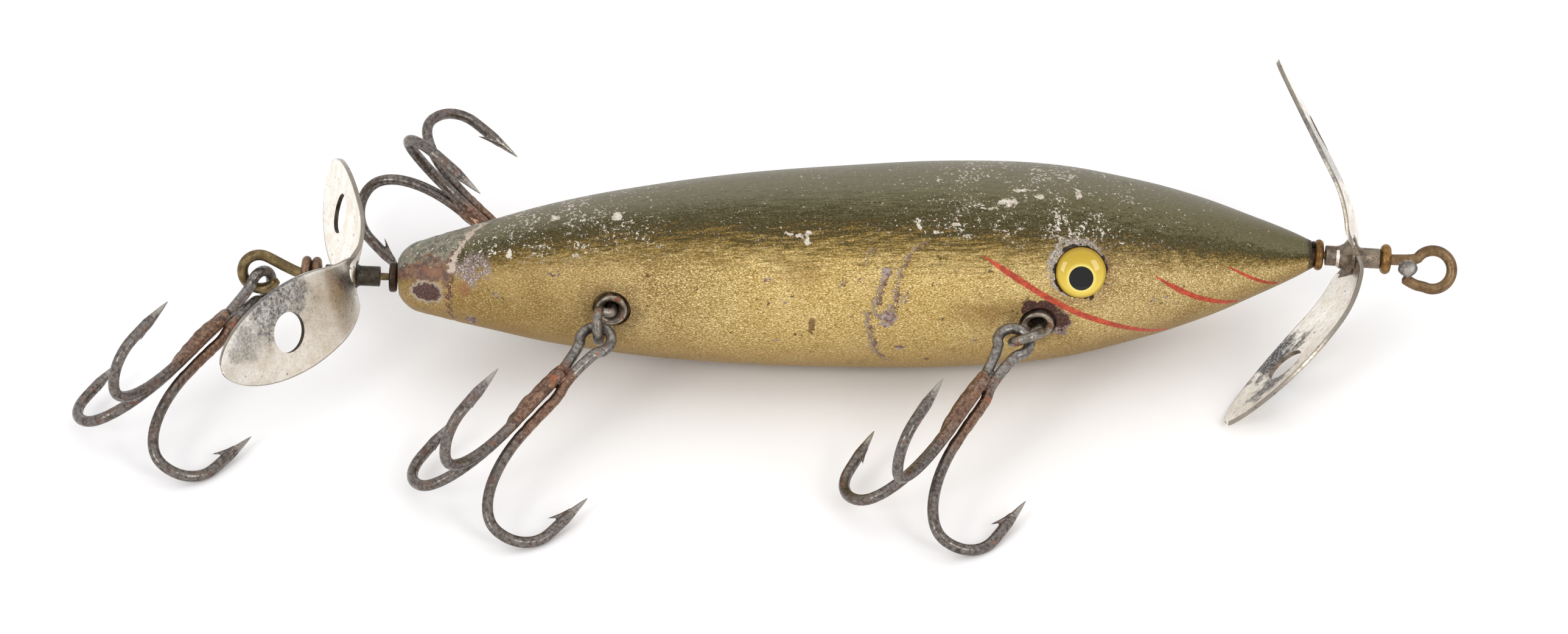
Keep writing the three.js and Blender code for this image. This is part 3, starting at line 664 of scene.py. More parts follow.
def eased(points, step):
    """A smooth path through the points, in even steps of about the length given in millimetres."""
    ends = [2 * points[0] - points[1], *points, 2 * points[-1] - points[-2]]
    dense = []
    for a, b, c, d in zip(ends, ends[1:], ends[2:], ends[3:]):
        knots = [0.0]
        for first, second in ((a, b), (b, c), (c, d)):
            knots.append(knots[-1] + max((second - first).length, 1e-9) ** 0.5)
        k0, k1, k2, k3 = knots
        for i in range(12):
            t = k1 + (k2 - k1) * i / 12
            ab, bc, cd = between(a, b, k0, k1, t), between(b, c, k1, k2, t), between(c, d, k2, k3, t)
            abc, bcd = between(ab, bc, k0, k2, t), between(bc, cd, k1, k3, t)
            dense.append(between(abc, bcd, k1, k2, t))
    dense.append(points[-1])
    reach = [0.0]
    for first, second in zip(dense, dense[1:]):
        reach.append(reach[-1] + (second - first).length)
    count = max(2, round(reach[-1] / (step * MM)))
    path, at = [], 0
    for i in range(count + 1):
        want = reach[-1] * i / count
        while at < len(reach) - 2 and reach[at + 1] < want:
            at += 1
        share = (want - reach[at]) / max(reach[at + 1] - reach[at], 1e-12)
        path.append(dense[at].lerp(dense[at + 1], share))
    return path


def circle(centre, first, second, radius, start, end, count=24):
    """Points round part of a circle, from one direction towards another, degrees and millimetres."""
    turns = (math.radians(start + (end - start) * i / count) for i in range(count + 1))
    return [centre + (first * math.cos(t) + second * math.sin(t)) * radius * MM for t in turns]


def blunt(radius, length, edge=0.35):
    """A wire's radius along it, with its cut ends rounded over. Lengths are in millimetres."""
    def at(along):
        short = min(1.0, max(0.0, 1 - min(along, length - along) / edge))
        return radius * max(0.35, (1 - short ** 2) ** 0.5)
    return at


def drawn_wire(form, path, radius_at, sides=WIRE_SIDES):
    """Draws a round wire along a path: a circle extruded from point to point, closed at both ends."""
    circle_verts = bmesh.ops.create_circle(form, segments=sides, radius=1)["verts"]
    rim = list({edge for vertex in circle_verts for edge in vertex.link_edges})
    first_rim = rim
    side = (path[1] - path[0]).orthogonal().normalized()
    last, along = Matrix.Identity(4), 0.0
    for i, point in enumerate(path):
        line = (path[min(i + 1, len(path) - 1)] - path[max(i - 1, 0)]).normalized()
        side = (side - line * side.dot(line)).normalized()
        along += (point - path[max(i - 1, 0)]).length / MM
        size = radius_at(along) * MM
        turned_to = Matrix((side * size, line.cross(side) * size, line * size)).transposed().to_4x4()
        here = Matrix.Translation(point) @ turned_to
        if i:
            grown = bmesh.ops.extrude_edge_only(form, edges=rim)["geom"]
            circle_verts = [part for part in grown if isinstance(part, bmesh.types.BMVert)]
            new = set(circle_verts)
            rim = [part for part in grown
                   if isinstance(part, bmesh.types.BMEdge) and new.issuperset(part.verts)]
        bmesh.ops.transform(form, matrix=here @ last.inverted(), verts=circle_verts)
        last = here
    bmesh.ops.holes_fill(form, edges=first_rim + rim, sides=0)
    bmesh.ops.recalc_face_normals(form, faces=form.faces)


def path_length(path):
    """In millimetres."""
    return sum((b - a).length for a, b in zip(path, path[1:])) / MM


def brass_finish(name, bright, brown, dark):
    """Old brass wire: bright where it is rubbed, brown over most of it, dark in the hollows."""
    brass = Finish(name)
    here = brass.millimetres()
    blotch = brass.cloud(here, 0.7, 4, 0.65)
    fine = brass.cloud(here, 5.0, 4, 0.7)
    colour = blotch.rise(0.38, 0.62).mix(brown, bright)
    colour = fine.rise(0.52, 0.7).mix(colour, dark)
    brass.wear(base_color=colour, metallic=fine.rise(0.7, 0.45, 0.55, 1.0),
               roughness=fine.rise(0.3, 0.7, 0.3, 0.5), normal=brass.bump(fine, 0.03, 0.6))
    return brass.material


def tie_path(origin, line, inner, leave, turn):
    """The shaft's straight run, and the bend into its loop, which begins over its last two millimetres."""
    outwards = math.copysign(1, leave)
    stops = (inner, leave - outwards * 2.2, leave - outwards * 0.8, leave)
    inner_end, *run = (origin + line * at * MM for at in stops)
    return [inner_end] + eased([*run, *turn], TIE_STEP)


loop_up = across(52)
loop_aside = ALONG.cross(loop_up)
line_loop = NOSE + (NOSE_LINE * 12.65 - loop_up * 0.8) * MM
nose_turn = circle(line_loop, ALONG, loop_up, LINE_LOOP, 142, -118)
for out, up in ((-1.75, -1.55), (-2.5, -1.15), (-3.15, -0.72)):
    nose_turn.append(line_loop + (ALONG * out + loop_up * up) * MM)
solder_at = NOSE + (NOSE_LINE * 10.05 - loop_up * 0.78) * MM
tail_normal = Vector((-0.076, -0.951, 0.3)).normalized()
tail_along = (ALONG - tail_normal * ALONG.dot(tail_normal)).normalized()
tail_aside = tail_normal.cross(tail_along)
tail_turn = circle(spot(-62.13, 1.17, 0.3), tail_along, tail_aside, TAIL_LOOP, 62, 335)
loop_brass = brass_finish("loop_brass", (134, 110, 80), (104, 80, 56), (60, 46, 34))
tail_brass = brass_finish("tail_brass", (140, 121, 86), (100, 84, 56), (50, 41, 30))
for name, origin, line, inner, leave, turn, finish in (
        ("line_tie", NOSE, NOSE_LINE, -5.0, 8.9, nose_turn, loop_brass),
        ("tail_tie", TAIL, TAIL_LINE, 5.0, -10.2, tail_turn, tail_brass)):
    path = tie_path(origin, line, inner, leave, turn)
    tie_form = bmesh.new()
    drawn_wire(tie_form, path, blunt(WIRE / 2, path_length(path)))
    tie = made(name + "_wire", tie_form)
    if name == "line_tie":
        drop = bmesh.new()
        bmesh.ops.create_icosphere(drop, subdivisions=4, radius=1)
        for vertex in drop.verts:
            vertex.co *= 1 + 0.12 * noise.noise(vertex.co * 1.7 + Vector((3, 1, 2)))
        lie = Matrix((ALONG, loop_up * 0.95, loop_aside * 0.7)).transposed().to_4x4()
        lie = Matrix.Translation(solder_at) @ Matrix.Scale(MM, 4) @ lie
        bmesh.ops.transform(drop, matrix=lie, verts=drop.verts)
        combined(tie, drop, "UNION")
    tie.data.materials.clear()
    tie.data.materials.append(finish)
    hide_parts(name)
    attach(tie, "lure")

# The solder drop keeps its own dull grey metal
solder = Finish("solder", metallic=0.7, roughness=0.5)
solder_grain = solder.cloud(solder.millimetres(), 1.4, 4, 0.65)
solder.wear(base_color=solder_grain.rise(0.4, 0.62).mix((108, 101, 92), (160, 156, 149)),
            normal=solder.bump(solder_grain, 0.03, 0.6))
line_tie = bpy.data.objects["line_tie_wire"]
line_tie.data.materials.append(solder.material)
for face in line_tie.data.polygons:
    offset = (face.center - solder_at) / MM
    out = Vector([offset.dot(way) / size for way, size in zip((ALONG, loop_up, loop_aside), DROP_INSIDE)])
    face.material_index = 1 if 0.85 < out.length < 1.25 else 0


# Rings of wire bent round the shafts keep the propellers from the wood and the loops. A thinner dark turn
# under the
# nose ring is painted shade: it fills the gap between the ring and the wood with black. A dark washer lies
# against
# the tail. Each ring: shaft, place along it, outer radius, wire and where it is cut.
RINGS = [
    ("nose_ring", NOSE, NOSE_LINE, 0.72, 1.62, 0.95, 200),
    ("tie_ring", NOSE, NOSE_LINE, 7.72, 1.58, 1.1, 160),
    ("tail_ring_inner", TAIL, TAIL_LINE, -8.6, 1.8, 1.0, 96),
    ("tail_ring_outer", TAIL, TAIL_LINE, -9.65, 1.85, 1.0, 250)]
RING_GAP = 7
RING_STEPS = 84
RING_SIDES = 24
RING_END = 0.12
DARK_TURN_AT = 0.12
DARK_TURN_RADIUS = 1.24
DARK_TURN_WIRE = 0.36
blackened = brass_finish("washer_black", (70, 54, 42), (40, 32, 26), (22, 18, 16))
bronze = brass_finish("ring_bronze", (152, 116, 66), (108, 78, 44), (54, 36, 22))
pink_bronze = brass_finish("tail_ring_bronze", (146, 118, 94), (98, 74, 58), (50, 36, 28))
for name, origin, line, at, outer, thick, gap_at in RINGS:
    up = across(90)
    level = (up - line * up.dot(line)).normalized()
    aside = line.cross(level)
    path = circle(origin + line * at * MM, level, aside, outer - thick / 2, gap_at + RING_GAP / 2,
                  gap_at + 360 - RING_GAP / 2, RING_STEPS)
    ring_form = bmesh.new()
    drawn_wire(ring_form, path, blunt(thick / 2, path_length(path), RING_END), RING_SIDES)
    if name == "nose_ring":
        # Painted shade: a thin black turn fills the gap between the nose ring and the wood
        under = circle(origin + line * DARK_TURN_AT * MM, level, aside, DARK_TURN_RADIUS, 20, 376,
                       RING_STEPS)
        drawn_wire(ring_form, under, blunt(DARK_TURN_WIRE / 2, path_length(under), RING_END), 16)
    ring = made(name + "_wire", ring_form, pink_bronze if name.startswith("tail") else bronze)
    if name == "nose_ring":
        ring.data.materials.append(blackened)
        for face in ring.data.polygons:
            face.material_index = 1 if (face.center - origin).dot(line) < 0.25 * MM else 0
    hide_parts(name)
    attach(ring, "lure")

washer_form = bmesh.new()
lip = [(-0.98, 0.66), (-0.98, 1.36), (-0.9, 1.52), (-0.74, 1.58), (-0.42, 1.58), (-0.26, 1.52),
       (-0.18, 1.36), (-0.18, 0.66), (-0.98, 0.66)]
turned(washer_form, lip, 56, TAIL, TAIL_LINE)
washer = made("dark_washer", washer_form, blackened)
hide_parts("tail_washer")
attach(washer, "lure")


# Each propeller is one bent plate of plated metal with two blades, soldered across a short tube that runs
# on the shaft. The plate is punched with a round hole in each blade, and its plating is tarnished.
PLATE = 0.45
WIDEST_AT = 0.5
TIP_HALF_WIDTH = 0.3
PLATE_EDGE = 0.1
PLATE_ROWS, PLATE_COLUMNS = 132, 18
CUP = 0.3
HOLE = 4.25
TUBE = (2.1, 1.3, 5.7)
TUBE_EDGE = 0.06
SOLDER = [(-1.75, 1.05), (-1.45, 1.17), (-1.0, 1.36), (-0.55, 1.75), (-0.2, 2.05), (0.1, 1.95), (0.35, 1.5),
          (0.55, 1.18), (0.8, 1.05)]
PROPELLERS = {
    "front_propeller": dict(
        origin=NOSE, line=NOSE_LINE, body="nose_spinner", at=4.28, angle=33.5, lengths=(23.2, 23.1),
        half_width=4.75, hub_half_width=1.9, hole_at=0.615, dull_to=2.15, sweep_at=(0, 0.12, 0.35, 1),
        sweeps=((0, 2.9, 26.8, 28.6), (3.6, 18.1, 35.3, 43.3)), pitches=(-16.9, -26.7),
        tarnish_and_reflection=((-0.58, -0.7, 0.2, 1.0), (-0.74, 0.2, 0.16, 0.9), (0.5, 0.4, 0.3, 0.5))),
    "tail_propeller": dict(
        origin=TAIL, line=TAIL_LINE, body="tail_spinner", at=-4.81, angle=174.7, lengths=(22.6, 21.4),
        half_width=4.85, hub_half_width=2.2, hole_at=0.58, dull_to=1.5, sweep_at=(0, 0.08, 0.3, 1),
        sweeps=((0, 6.9, 37.1, 39.6), (0, -1.4, 17.7, 9.4)), pitches=(18.3, 14.9),
        tarnish_and_reflection=((0.62, -0.85, 0.27, 0.7), (0.84, -0.45, 0.18, 0.5), (0.16, 0.1, 0.14, 0.3)))}


def plate_half_width(t, shape):
    """Half the plate's width at a share of a blade's length."""
    if t < WIDEST_AT:
        share = math.sin(math.pi / 2 * t / WIDEST_AT)
        return shape["hub_half_width"] + (shape["half_width"] - shape["hub_half_width"]) * share
    u = (t - WIDEST_AT) / (1 - WIDEST_AT)
    return TIP_HALF_WIDTH + (shape["half_width"] - TIP_HALF_WIDTH) * max(0, 1 - u * u) ** 0.6


def sweep_of(shape, blade, t):
    """How far one blade leans towards the tail, in radians, at a share of its length."""
    at, sweeps = shape["sweep_at"], shape["sweeps"][blade]
    i = max(1, next(n for n, share in enumerate(at) if share >= t))
    return math.radians(sweeps[i - 1] + (sweeps[i] - sweeps[i - 1]) * (t - at[i - 1]) / (at[i] - at[i - 1]))


def plate_frame(shape, share):
    """Middle of the plate, the way across it and its face, at -1 to 1 along both blades."""
    blade = 1 if share < 0 else 0
    reach, rows = abs(share), 60
    out = back = 0.0
    for i in range(rows):
        sweep = sweep_of(shape, blade, min(1, reach * (i + 0.5) / rows))
        out += shape["lengths"][blade] * reach / rows * math.cos(sweep)
        back += shape["lengths"][blade] * reach / rows * math.sin(sweep)
    sweep = sweep_of(shape, blade, min(1, reach))
    away = across(shape["angle"] + 180 * blade)
    turn = ALONG.cross(away)
    rise = ALONG * math.cos(sweep) + away * math.sin(sweep)
    along = away * math.cos(sweep) - ALONG * math.sin(sweep)
    first, second = shape["pitches"]
    ease = min(1, max(0, share / 0.09 * 0.5 + 0.5))
    twist = -second + (first + second) * ease * ease * (3 - 2 * ease)
    tilt = math.radians(twist if blade == 0 else -twist)
    chord = turn * math.cos(tilt) + rise * math.sin(tilt)
    return ALONG * shape["at"] + away * out - ALONG * back, chord, along.cross(chord)


def shaft_frame(origin, line):
    """Carries a propeller made in millimetres round +X to its place on the shaft."""
    z = line.cross(Vector((0, 1, 0))).normalized()
    turn = Matrix((line, z.cross(line), z)).transposed().to_4x4()
    return Matrix.Translation(origin) @ turn @ Matrix.Scale(MM, 4)


def plated_finish(name, shape):
    """Bright nickel over brass: dull and brown at the hub, dark blots of tarnished plating and painted dark
    reflection, scratched all over, painted shade along the edges.
    """
    plate = Finish(name)
    here = plate.millimetres()
    share, over, _ = plate.step("SeparateXYZ", {0: plate.step("UVMap", uv_map="plate")}).parts()
    blots = plate.cloud(here, 0.55, 5, 0.65)
    fine = plate.cloud(here, 3.2, 5, 0.75)
    lines = plate.cloud(plate.place(here, (0.25, 1.3, 1.3), (0.3, 0.5, 0.7)), 2.6, 5, 0.75)
    colour = blots.rise(0.35, 0.65).mix((234, 224, 208), (252, 247, 238))
    colour = lines.rise(0.5, 0.75, 0, 0.6).mix(colour, (168, 156, 140))
    hub = abs(share).rise(0.28, 0.1)
    colour = (hub * 0.3).mix(colour, (190, 184, 174))
    # Dark blots: tarnished plating, and painted dark reflection in the shiny metal
    dark = 0.0
    for blot_along, blot_over, radius, strength in shape["tarnish_and_reflection"]:
        along = share - blot_along
        aside = (over - blot_over) * 0.25
        away = (along * along + aside * aside).root() + blots.rise(0, 1, -radius * 0.8, radius * 0.8)
        dark = most(dark, away.rise(radius, radius * 0.4) * strength)
    dark = dark * fine.rise(0.36, 0.64, 0.4, 1.4)
    pits = plate.specks(plate.shaken(here, 0.2, 3), 1.5, 0.2, 0.3)
    dark = plate.maths("MINIMUM", most(dark, pits * 0.7), 1.0)
    # Painted shade: the plate darkens along its edges
    rim = abs(over).rise(0.95, 1.0, 0, 0.8)
    colour = rim.mix(colour, (112, 102, 88))
    colour = dark.mix(colour, lines.rise(0.4, 0.6).mix((54, 58, 60), (92, 98, 110)))
    plate.wear(base_color=colour, metallic=dark.rise(0, 1, 1.0, 0.75),
               roughness=lines.rise(0.3, 0.7, 0.2, 0.36) + dark * 0.2,
               normal=plate.bump(lines - dark * 0.8, 0.03, 0.5))
    return plate.material


def tube_finish(name, pale, dull, dark):
    """The tube and its solder: dull grey metal, stained brown."""
    tube = Finish(name, metallic=0.75)
    here = tube.millimetres()
    fine = tube.cloud(here, 5.0, 4, 0.75)
    colour = tube.cloud(here, 1.1, 4, 0.65).rise(0.38, 0.62).mix(dull, pale)
    tube.wear(base_color=fine.rise(0.54, 0.7).mix(colour, dark), normal=tube.bump(fine, 0.04, 0.6),
              roughness=fine.rise(0.3, 0.7, 0.32, 0.52))
    return tube.material


TUBES = {
    "nose_spinner": tube_finish("front_tube", (140, 125, 108), (98, 86, 74), (50, 40, 30)),
    "tail_spinner": tube_finish("tail_tube", (70, 62, 52), (48, 42, 34), (26, 22, 18))}


def turned_on_shaft(form, profile, steps):
    """Turns a profile about +X, in the millimetres that a propeller is made in."""
    turned(form, profile, steps, Vector((0, 0, 0)), ALONG)
    bmesh.ops.transform(form, matrix=Matrix.Scale(1 / MM, 4), verts=form.verts)


for name, shape in PROPELLERS.items():
    grid = bmesh.new()
    plate_map = grid.loops.layers.uv.new("plate")
    bmesh.ops.create_grid(grid, x_segments=PLATE_ROWS, y_segments=PLATE_COLUMNS, size=1)
    flat_place = {vertex: (math.sin(math.pi / 2 * vertex.co.x), vertex.co.y) for vertex in grid.verts}
    for corner in (corner for square in grid.faces for corner in square.loops):
        corner[plate_map].uv = flat_place[corner.vert]
    frames = {}
    for vertex, (share, over) in flat_place.items():
        key = round(share, 6)
        if key not in frames:
            frames[key] = plate_frame(shape, share)
        middle, chord, facing = frames[key]
        half = plate_half_width(abs(share), shape)
        bow = CUP * half / shape["half_width"] * (over * over - 0.5) * min(1, abs(share) * 12)
        side = -1 if share < 0 else 1
        vertex.co = middle + chord * over * half * side - facing * bow
    bmesh.ops.recalc_face_normals(grid, faces=grid.faces)
    propeller = made(name + "_plate", grid)
    thick = propeller.modifiers.new("thick", "SOLIDIFY")
    thick.thickness = PLATE
    thick.offset = 0
    rounded = propeller.modifiers.new("rounded", "BEVEL")
    rounded.width = PLATE_EDGE
    rounded.segments = 2
    rounded.limit_method = "ANGLE"
    rounded.angle_limit = math.radians(50)
    settled(propeller)

    outer, inner, length = TUBE
    half, at = length / 2, shape["at"]
    sleeve = bmesh.new()
    turned_on_shaft(sleeve, [
        (at - half, 0), (at - half, outer / 2 - TUBE_EDGE), (at - half + TUBE_EDGE, outer / 2),
        *((at + along, radius) for along, radius in SOLDER), (at + half - TUBE_EDGE, outer / 2),
        (at + half, outer / 2 - TUBE_EDGE), (at + half, 0)], 64)
    for vertex in sleeve.verts:
        from_axis = Vector((0, vertex.co.y, vertex.co.z))
        if from_axis.length > outer / 2 + 0.02:
            vertex.co += from_axis.normalized() * 0.25 * noise.noise(vertex.co * 0.9)
    combined(propeller, sleeve, "UNION")
    cuts = bmesh.new()
    turned_on_shaft(cuts, [(at - 9, 0), (at - 9, inner / 2), (at + 9, inner / 2), (at + 9, 0)], 48)
    holes = [plate_frame(shape, side * shape["hole_at"]) for side in (1, -1)]
    for middle, chord, facing in holes:
        facing_to = Matrix((chord, facing.cross(chord), facing)).transposed().to_4x4()
        bmesh.ops.create_cone(cuts, cap_ends=True, segments=72, radius1=HOLE / 2, radius2=HOLE / 2, depth=6,
                              matrix=Matrix.Translation(middle) @ facing_to)
    combined(propeller, cuts, "DIFFERENCE")
    propeller.data.materials.clear()
    for finish in (plated_finish(name + "_plating", shape), TUBES[shape["body"]]):
        propeller.data.materials.append(finish)
    for face in propeller.data.polygons:
        reach = math.hypot(face.center.y, face.center.z)
        on_tube = reach < outer / 2 + 0.03 and abs(face.center.x - at) < half + 0.1
        in_hole = any((face.center - middle).cross(facing).length < HOLE / 2 + 0.02
                      and abs(face.normal.dot(facing)) < 0.6 for middle, _, facing in holes)
        on_solder = reach < shape["dull_to"] and abs(face.center.x - at) < 1.5
        face.material_index = 1 if on_tube or in_hole or on_solder else 0
    propeller.data.transform(shaft_frame(shape["origin"], shape["line"]))
    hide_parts(name)
    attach(propeller, shape["body"])


# The hook hangers are screw eyes: a pressed cup lies in each seat of the body, and a stiff wire comes up
# through it and is bent round into the ring that carries the hook. The far front one carries no hook.
HANGER_WIRE = 1.0
HANGER_RING = 1.55
HANGER_TURN = (30, 300)
HANGER_STEP = 0.16
SHANK_IN_WOOD = 3.8
NECK = 0.6
RING_PLACES = {
    "near_front": ((17.23, -13.58, 0.64), (-0.305, 0.547, 0.779)),
    "near_rear": ((-26.6, -10.44, 1.05), (0.995, -0.093, 0.03)),
    "far_front": ((17.6, 9.3, -8.68), (1, 0, 0.1)),
    "far_rear": ((-30.2, 7.48, -6.99), (0.9, -0.297, -0.318))}
CUP_PROFILE = [
    (-0.5, 0.85), (-0.5, 1.6), (-0.42, 1.68), (0.12, 1.68), (0.24, 1.64), (0.33, 1.52), (0.35, 1.4),
    (0.31, 1.27), (0.2, 1.12), (0.0, 0.97), (-0.15, 0.87), (-0.3, 0.85), (-0.5, 0.85)]


def worn_steel(name, bright, dull, rust, rust_share):
    """Nickelled steel gone grey and spotted, with brown rust where water stood."""
    steel = Finish(name)
    here = steel.millimetres()
    blotch = steel.cloud(here, 0.9, 4, 0.65)
    fine = steel.cloud(here, 4.5, 4, 0.75)
    colour = blotch.rise(0.38, 0.62).mix(dull, bright)
    colour = fine.rise(0.52, 0.7, 0, 0.8).mix(colour, (62, 54, 46))
    rusty = (blotch + fine * 0.4).rise(0.98 - rust_share, 1.06 - rust_share)
    steel.wear(base_color=rusty.mix(colour, rust), metallic=rusty.rise(0, 1, 0.95, 0.1),
               roughness=fine.rise(0.3, 0.7, 0.26, 0.46) + rusty * 0.3,
               normal=steel.bump(fine, 0.025, 0.6))
    return steel.material


cup_metal = worn_steel("cup_nickel", (164, 156, 142), (118, 106, 92), (112, 72, 46), 0.24)
ring_steel = worn_steel("hanger_steel", (150, 146, 138), (98, 92, 84), (120, 70, 40), 0.2)
for name, (x, from_belly) in HANGERS.items():
    foot, outward = on_body(x, 180 - from_belly), across(BACK + 180 - from_belly)
    cup_form = bmesh.new()
    turned(cup_form, CUP_PROFILE, 64, foot, outward)
    cup = made("cup_" + name, cup_form, cup_metal)
    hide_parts("hanger_cup_" + name)
    place, normal = RING_PLACES[name]
    centre, normal = spot(*place), Vector(normal).normalized()
    back = foot - centre
    back = (back - normal * back.dot(normal)).normalized()
    turn = circle(centre, back, normal.cross(back), HANGER_RING, *HANGER_TURN)
    path = eased([foot - outward * NECK * MM, foot + outward * NECK * MM, *turn], HANGER_STEP)
    path.insert(0, foot - outward * SHANK_IN_WOOD * MM)
    hanger_form = bmesh.new()
    drawn_wire(hanger_form, path, blunt(HANGER_WIRE / 2, path_length(path)))
    hanger = made("ring_" + name, hanger_form, ring_steel)
    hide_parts("hanger_hook_" + name)
    for piece in (cup, hanger):
        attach(piece, "lure")


# The treble hooks are forged from wire: one wire is bent back on itself into an eye and two hooks, and a
# third hook is brazed along its shank. They are dark with age and rusty round the braze. Each treble: the
# middle of its eye, the ways its shank and its first hook point, its hand and the turn of its eye.
HOOK_WIRE = 1.15
HOOK_SIDES = 20
HOOK_STEP = 0.3
HOOK_TURNS = (0, 120, -120)
HOOK_EYE = 1.65
SHANK = 12.8
BEND_OUT = (5.05, 4.2)
BEND_DEPTH = (10, 3.95)
BEND_END = 86
BEND_STEPS = 8
SPEAR = 5.75
SHANK_OFFSET = 0.57
LOOSE_THROAT = 0.72
LOOSE_OFFSET = 1.1
LOOSE_BEND_OUT = 4.67
BRAZE = (5.5, 12.5)
BRAZE_SHARES = (-0.1, 0.04, 0.27, 0.5, 0.75, 1, 1.15)
BRAZE_OFFSET = 0.52
BARB = (2.4, 2.34)
MELT = 0.085
TREBLES = {
    "near_front": ((15.85, -14.17, 0.53), (-0.536, -0.805, -0.255), (0.753, -0.318, -0.576), 1, -21.7),
    "near_rear": ((-26.96, -11.98, 0.42), (-0.628, -0.737, -0.25), (0.715, -0.418, -0.561), 1, -28.4),
    "far_rear": ((-31.07, 7.35, -8.54), (-0.723, 0.397, 0.565), (0.486, 0.873, 0.009), -1, -65.3),
    "tail": ((-62.16, 0.72, -1.24), (-0.598, -0.785, -0.16), (0.7, -0.416, -0.579), 1, 49.3)}


def hook_line(loose):
    """One hook from its shank to its point: distance out from the shank's middle, and down it."""
    offset = LOOSE_OFFSET if loose else SHANK_OFFSET
    bend_out = LOOSE_BEND_OUT if loose else BEND_OUT[0]
    throat = [(LOOSE_THROAT, BRAZE[0]), (offset, BRAZE[0] + 2)] if loose else [(offset, BRAZE[0])]
    line = [*throat, (offset, 10.0), (offset, SHANK)]
    for i in range(1, BEND_STEPS + 1):
        t = math.radians(90 * i / BEND_STEPS)
        line.append((offset + bend_out * (1 - math.cos(t)), SHANK + BEND_DEPTH[0] * math.sin(t)))
    out, low = line[-1]
    for i in range(1, BEND_STEPS + 1):
        t = math.radians(BEND_END * i / BEND_STEPS)
        line.append((out + BEND_OUT[1] * math.sin(t), low - BEND_DEPTH[1] * (1 - math.cos(t))))
    end = math.radians(BEND_END)
    slope = Vector((BEND_OUT[1] * math.cos(end), -BEND_DEPTH[1] * math.sin(end))).normalized()
    start = Vector(line[-1])
    return line + [tuple(start + slope * SPEAR * share) for share in (0.33, 0.66, 1)]


def pointed(radius, length, both_ends):
    """A hook wire's radius: full, then filed down to the point over the last few millimetres."""
    def at(along):
        left = min(along, length - along) if both_ends else length - along
        return min(radius, 0.05 + 0.142 * max(0, left) + 0.05 * min(1, left)) if left < 4 else radius
    return at


def brazed_over(length, hand, eye_turn):
    """The braze's radius along the shank: full in the middle, thin at both ends, and uneven."""
    def at(along):
        share = min(max((along + 0.4) / (length + 0.8), 0.04), 0.96)
        uneven = noise.noise(Vector((along * 0.9, hand, eye_turn)))
        return 0.8 * math.sin(math.pi * share) ** 0.35 + 0.1 * uneven
    return at


def barb_radius(along):
    """A barb thins out to its point, with millimetres from its root."""
    return max(0.05, 0.38 - 0.13 * along)


hook_metal = Finish("hook_steel")
hook_here = hook_metal.millimetres()
shank_place = hook_metal.step("Attribute", attribute_name="down_shank", out="Fac")
tip_place = hook_metal.step("Attribute", attribute_name="from_tip", out="Fac")
hook_blotch = hook_metal.cloud(hook_here, 0.55, 4, 0.65)
hook_fine = hook_metal.cloud(hook_here, 2.6, 5, 0.72)
hook_spots = hook_metal.cloud(hook_here, 0.95, 4, 0.66)
down_hook = shank_place + hook_blotch.rise(0, 1, -3.5, 3.5)
steel_grey = hook_fine.rise(0.4, 0.64).mix((140, 136, 130), (92, 87, 82))
age_brown = hook_fine.rise(0.4, 0.64).mix((140, 112, 93), (90, 66, 54))
old_dark = hook_fine.rise(0.4, 0.64).mix((124, 117, 111), (78, 71, 66))
hook_colour = down_hook.rise(3.6, 6.6).mix(steel_grey, age_brown)
hook_colour = down_hook.rise(11.5, 16.5).mix(hook_colour, old_dark)
hook_colour = hook_spots.rise(0.46, 0.34, 0, 0.6).mix(hook_colour, (62, 49, 42))
hook_rust = hook_blotch.rise(0.52, 0.66) * hook_fine.rise(0.44, 0.56)
hook_colour = (hook_rust * 0.6).mix(hook_colour, (106, 66, 46))
by_braze = abs(shank_place - 6.4).rise(3.4, 0.6)
orange = (hook_spots + by_braze * 0.07).rise(0.65, 0.7)
hook_colour = (orange * 0.8).mix(hook_colour, (150, 74, 34))
hook_rust = most(hook_rust, orange)
filed = (tip_place + hook_fine.rise(0, 1, -1.2, 1.2)).rise(3.2, 1.4, 0, 0.8)
hook_colour = filed.mix(hook_colour, (168, 164, 156))
hook_metal.wear(base_color=hook_colour, normal=hook_metal.bump(hook_fine + hook_rust * 0.6, 0.03, 0.6),
                metallic=hook_rust.rise(0, 1, 0.85, 0.15),
                roughness=hook_fine.rise(0.3, 0.7, 0.22, 0.38) + hook_rust * 0.25)

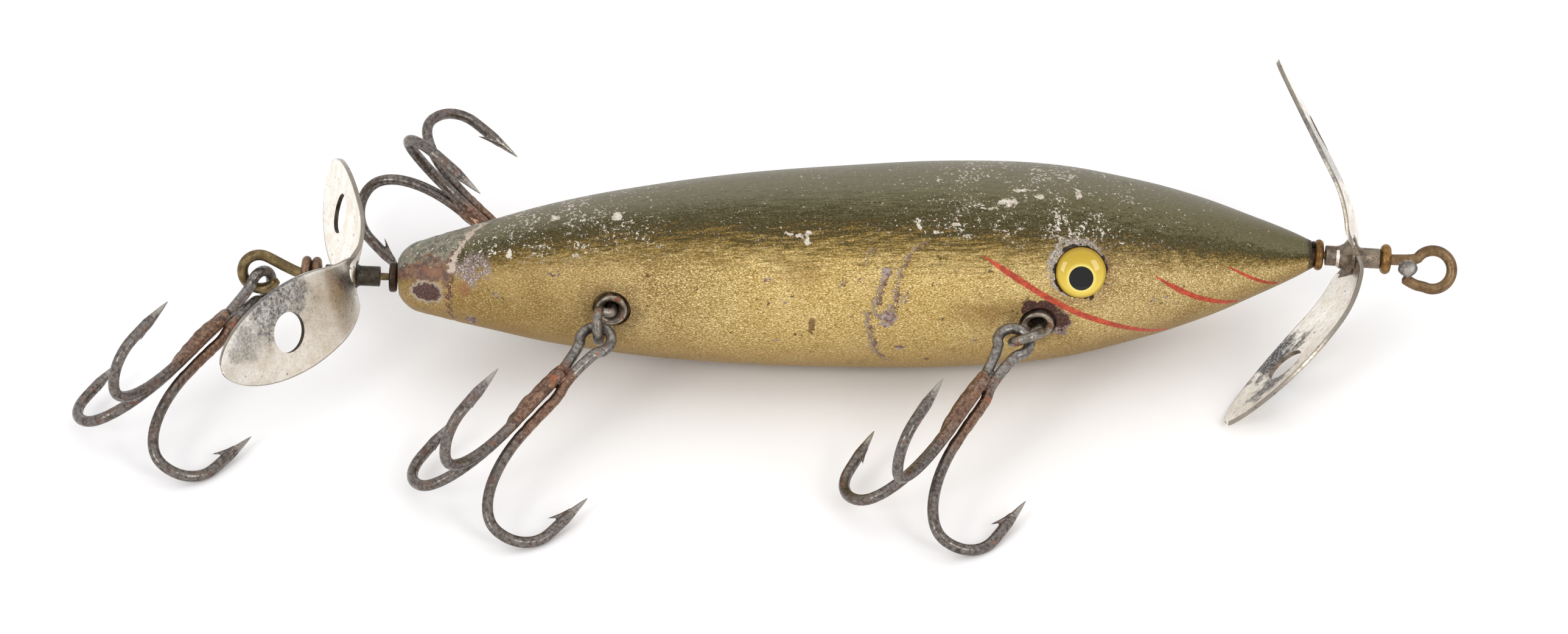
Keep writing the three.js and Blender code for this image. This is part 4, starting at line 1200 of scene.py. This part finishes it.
for name, (eye_place, shank, first_hook, hand, eye_turn) in TREBLES.items():
    centre, shank, first_hook = spot(*eye_place), Vector(shank).normalized(), Vector(first_hook)
    first = (first_hook - shank * first_hook.dot(shank)).normalized()
    second = first.cross(shank) * hand
    away = {turn: first * math.cos(math.radians(turn)) + second * math.sin(math.radians(turn))
            for turn in (*HOOK_TURNS, 180, eye_turn)}
    hooks = {turn: [centre + (away[turn] * out + shank * low) * MM for out, low in hook_line(turn == 0)]
             for turn in HOOK_TURNS}
    loose, fixed, third = hooks.values()
    eye_arc = circle(centre, away[eye_turn], -shank, HOOK_EYE, -48, 228, 12)
    treble_form = bmesh.new()
    double = eased([*reversed(loose), *eye_arc, *fixed], HOOK_STEP)
    drawn_wire(treble_form, double, pointed(HOOK_WIRE / 2, path_length(double), True), HOOK_SIDES)
    single = eased(third, HOOK_STEP)
    drawn_wire(treble_form, single, pointed(HOOK_WIRE / 2, path_length(single), False), HOOK_SIDES)
    down_braze = (BRAZE[0] + (BRAZE[1] - BRAZE[0]) * share for share in BRAZE_SHARES)
    sheath = [centre + (away[180] * BRAZE_OFFSET + shank * low) * MM for low in down_braze]
    sheath = eased(sheath, HOOK_STEP)
    drawn_wire(treble_form, sheath, brazed_over(path_length(sheath), hand, eye_turn), HOOK_SIDES)
    for turn in HOOK_TURNS:
        tip = hooks[turn][-1]
        spear = (hooks[turn][-4] - tip).normalized()
        root = tip + (spear * BARB[0] - away[turn] * 0.15) * MM
        lifted = ((0.9, 0.35), (BARB[1], 1.15))
        barb = [root, *(root + (spear * back - away[turn] * up) * MM for back, up in lifted)]
        drawn_wire(treble_form, eased(barb, 0.15), barb_radius, 12)
    treble = made("treble_hook_" + name, treble_form)
    melt = treble.modifiers.new("melt", "REMESH")
    melt.mode = "VOXEL"
    melt.voxel_size = MELT * MM
    settled(treble)
    brazed = bmesh.new()
    brazed.from_mesh(treble.data)
    bmesh.ops.smooth_vert(brazed, verts=brazed.verts, factor=0.5, use_axis_x=True, use_axis_y=True,
                          use_axis_z=True)
    tips = [hook[-1] for hook in hooks.values()]
    down_layer = brazed.verts.layers.float.new("down_shank")
    tip_layer = brazed.verts.layers.float.new("from_tip")
    for vertex in brazed.verts:
        low = (vertex.co - centre).dot(shank) / MM
        out = ((vertex.co - centre) / MM - shank * low).length
        if BRAZE[0] - 1 < low < BRAZE[1] + 1.5 and out < 2:
            outward = (vertex.co - centre - shank * low * MM).normalized()
            vertex.co += outward * 0.06 * MM * noise.noise(vertex.co / MM * 1.3)
        vertex[down_layer] = low
        vertex[tip_layer] = min((vertex.co - tip).length for tip in tips) / MM
    treble.data = mesh_of("treble_hook_" + name, brazed)
    treble.data.materials.append(hook_metal.material)
    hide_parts("treble_" + name)
    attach(treble, "lure")
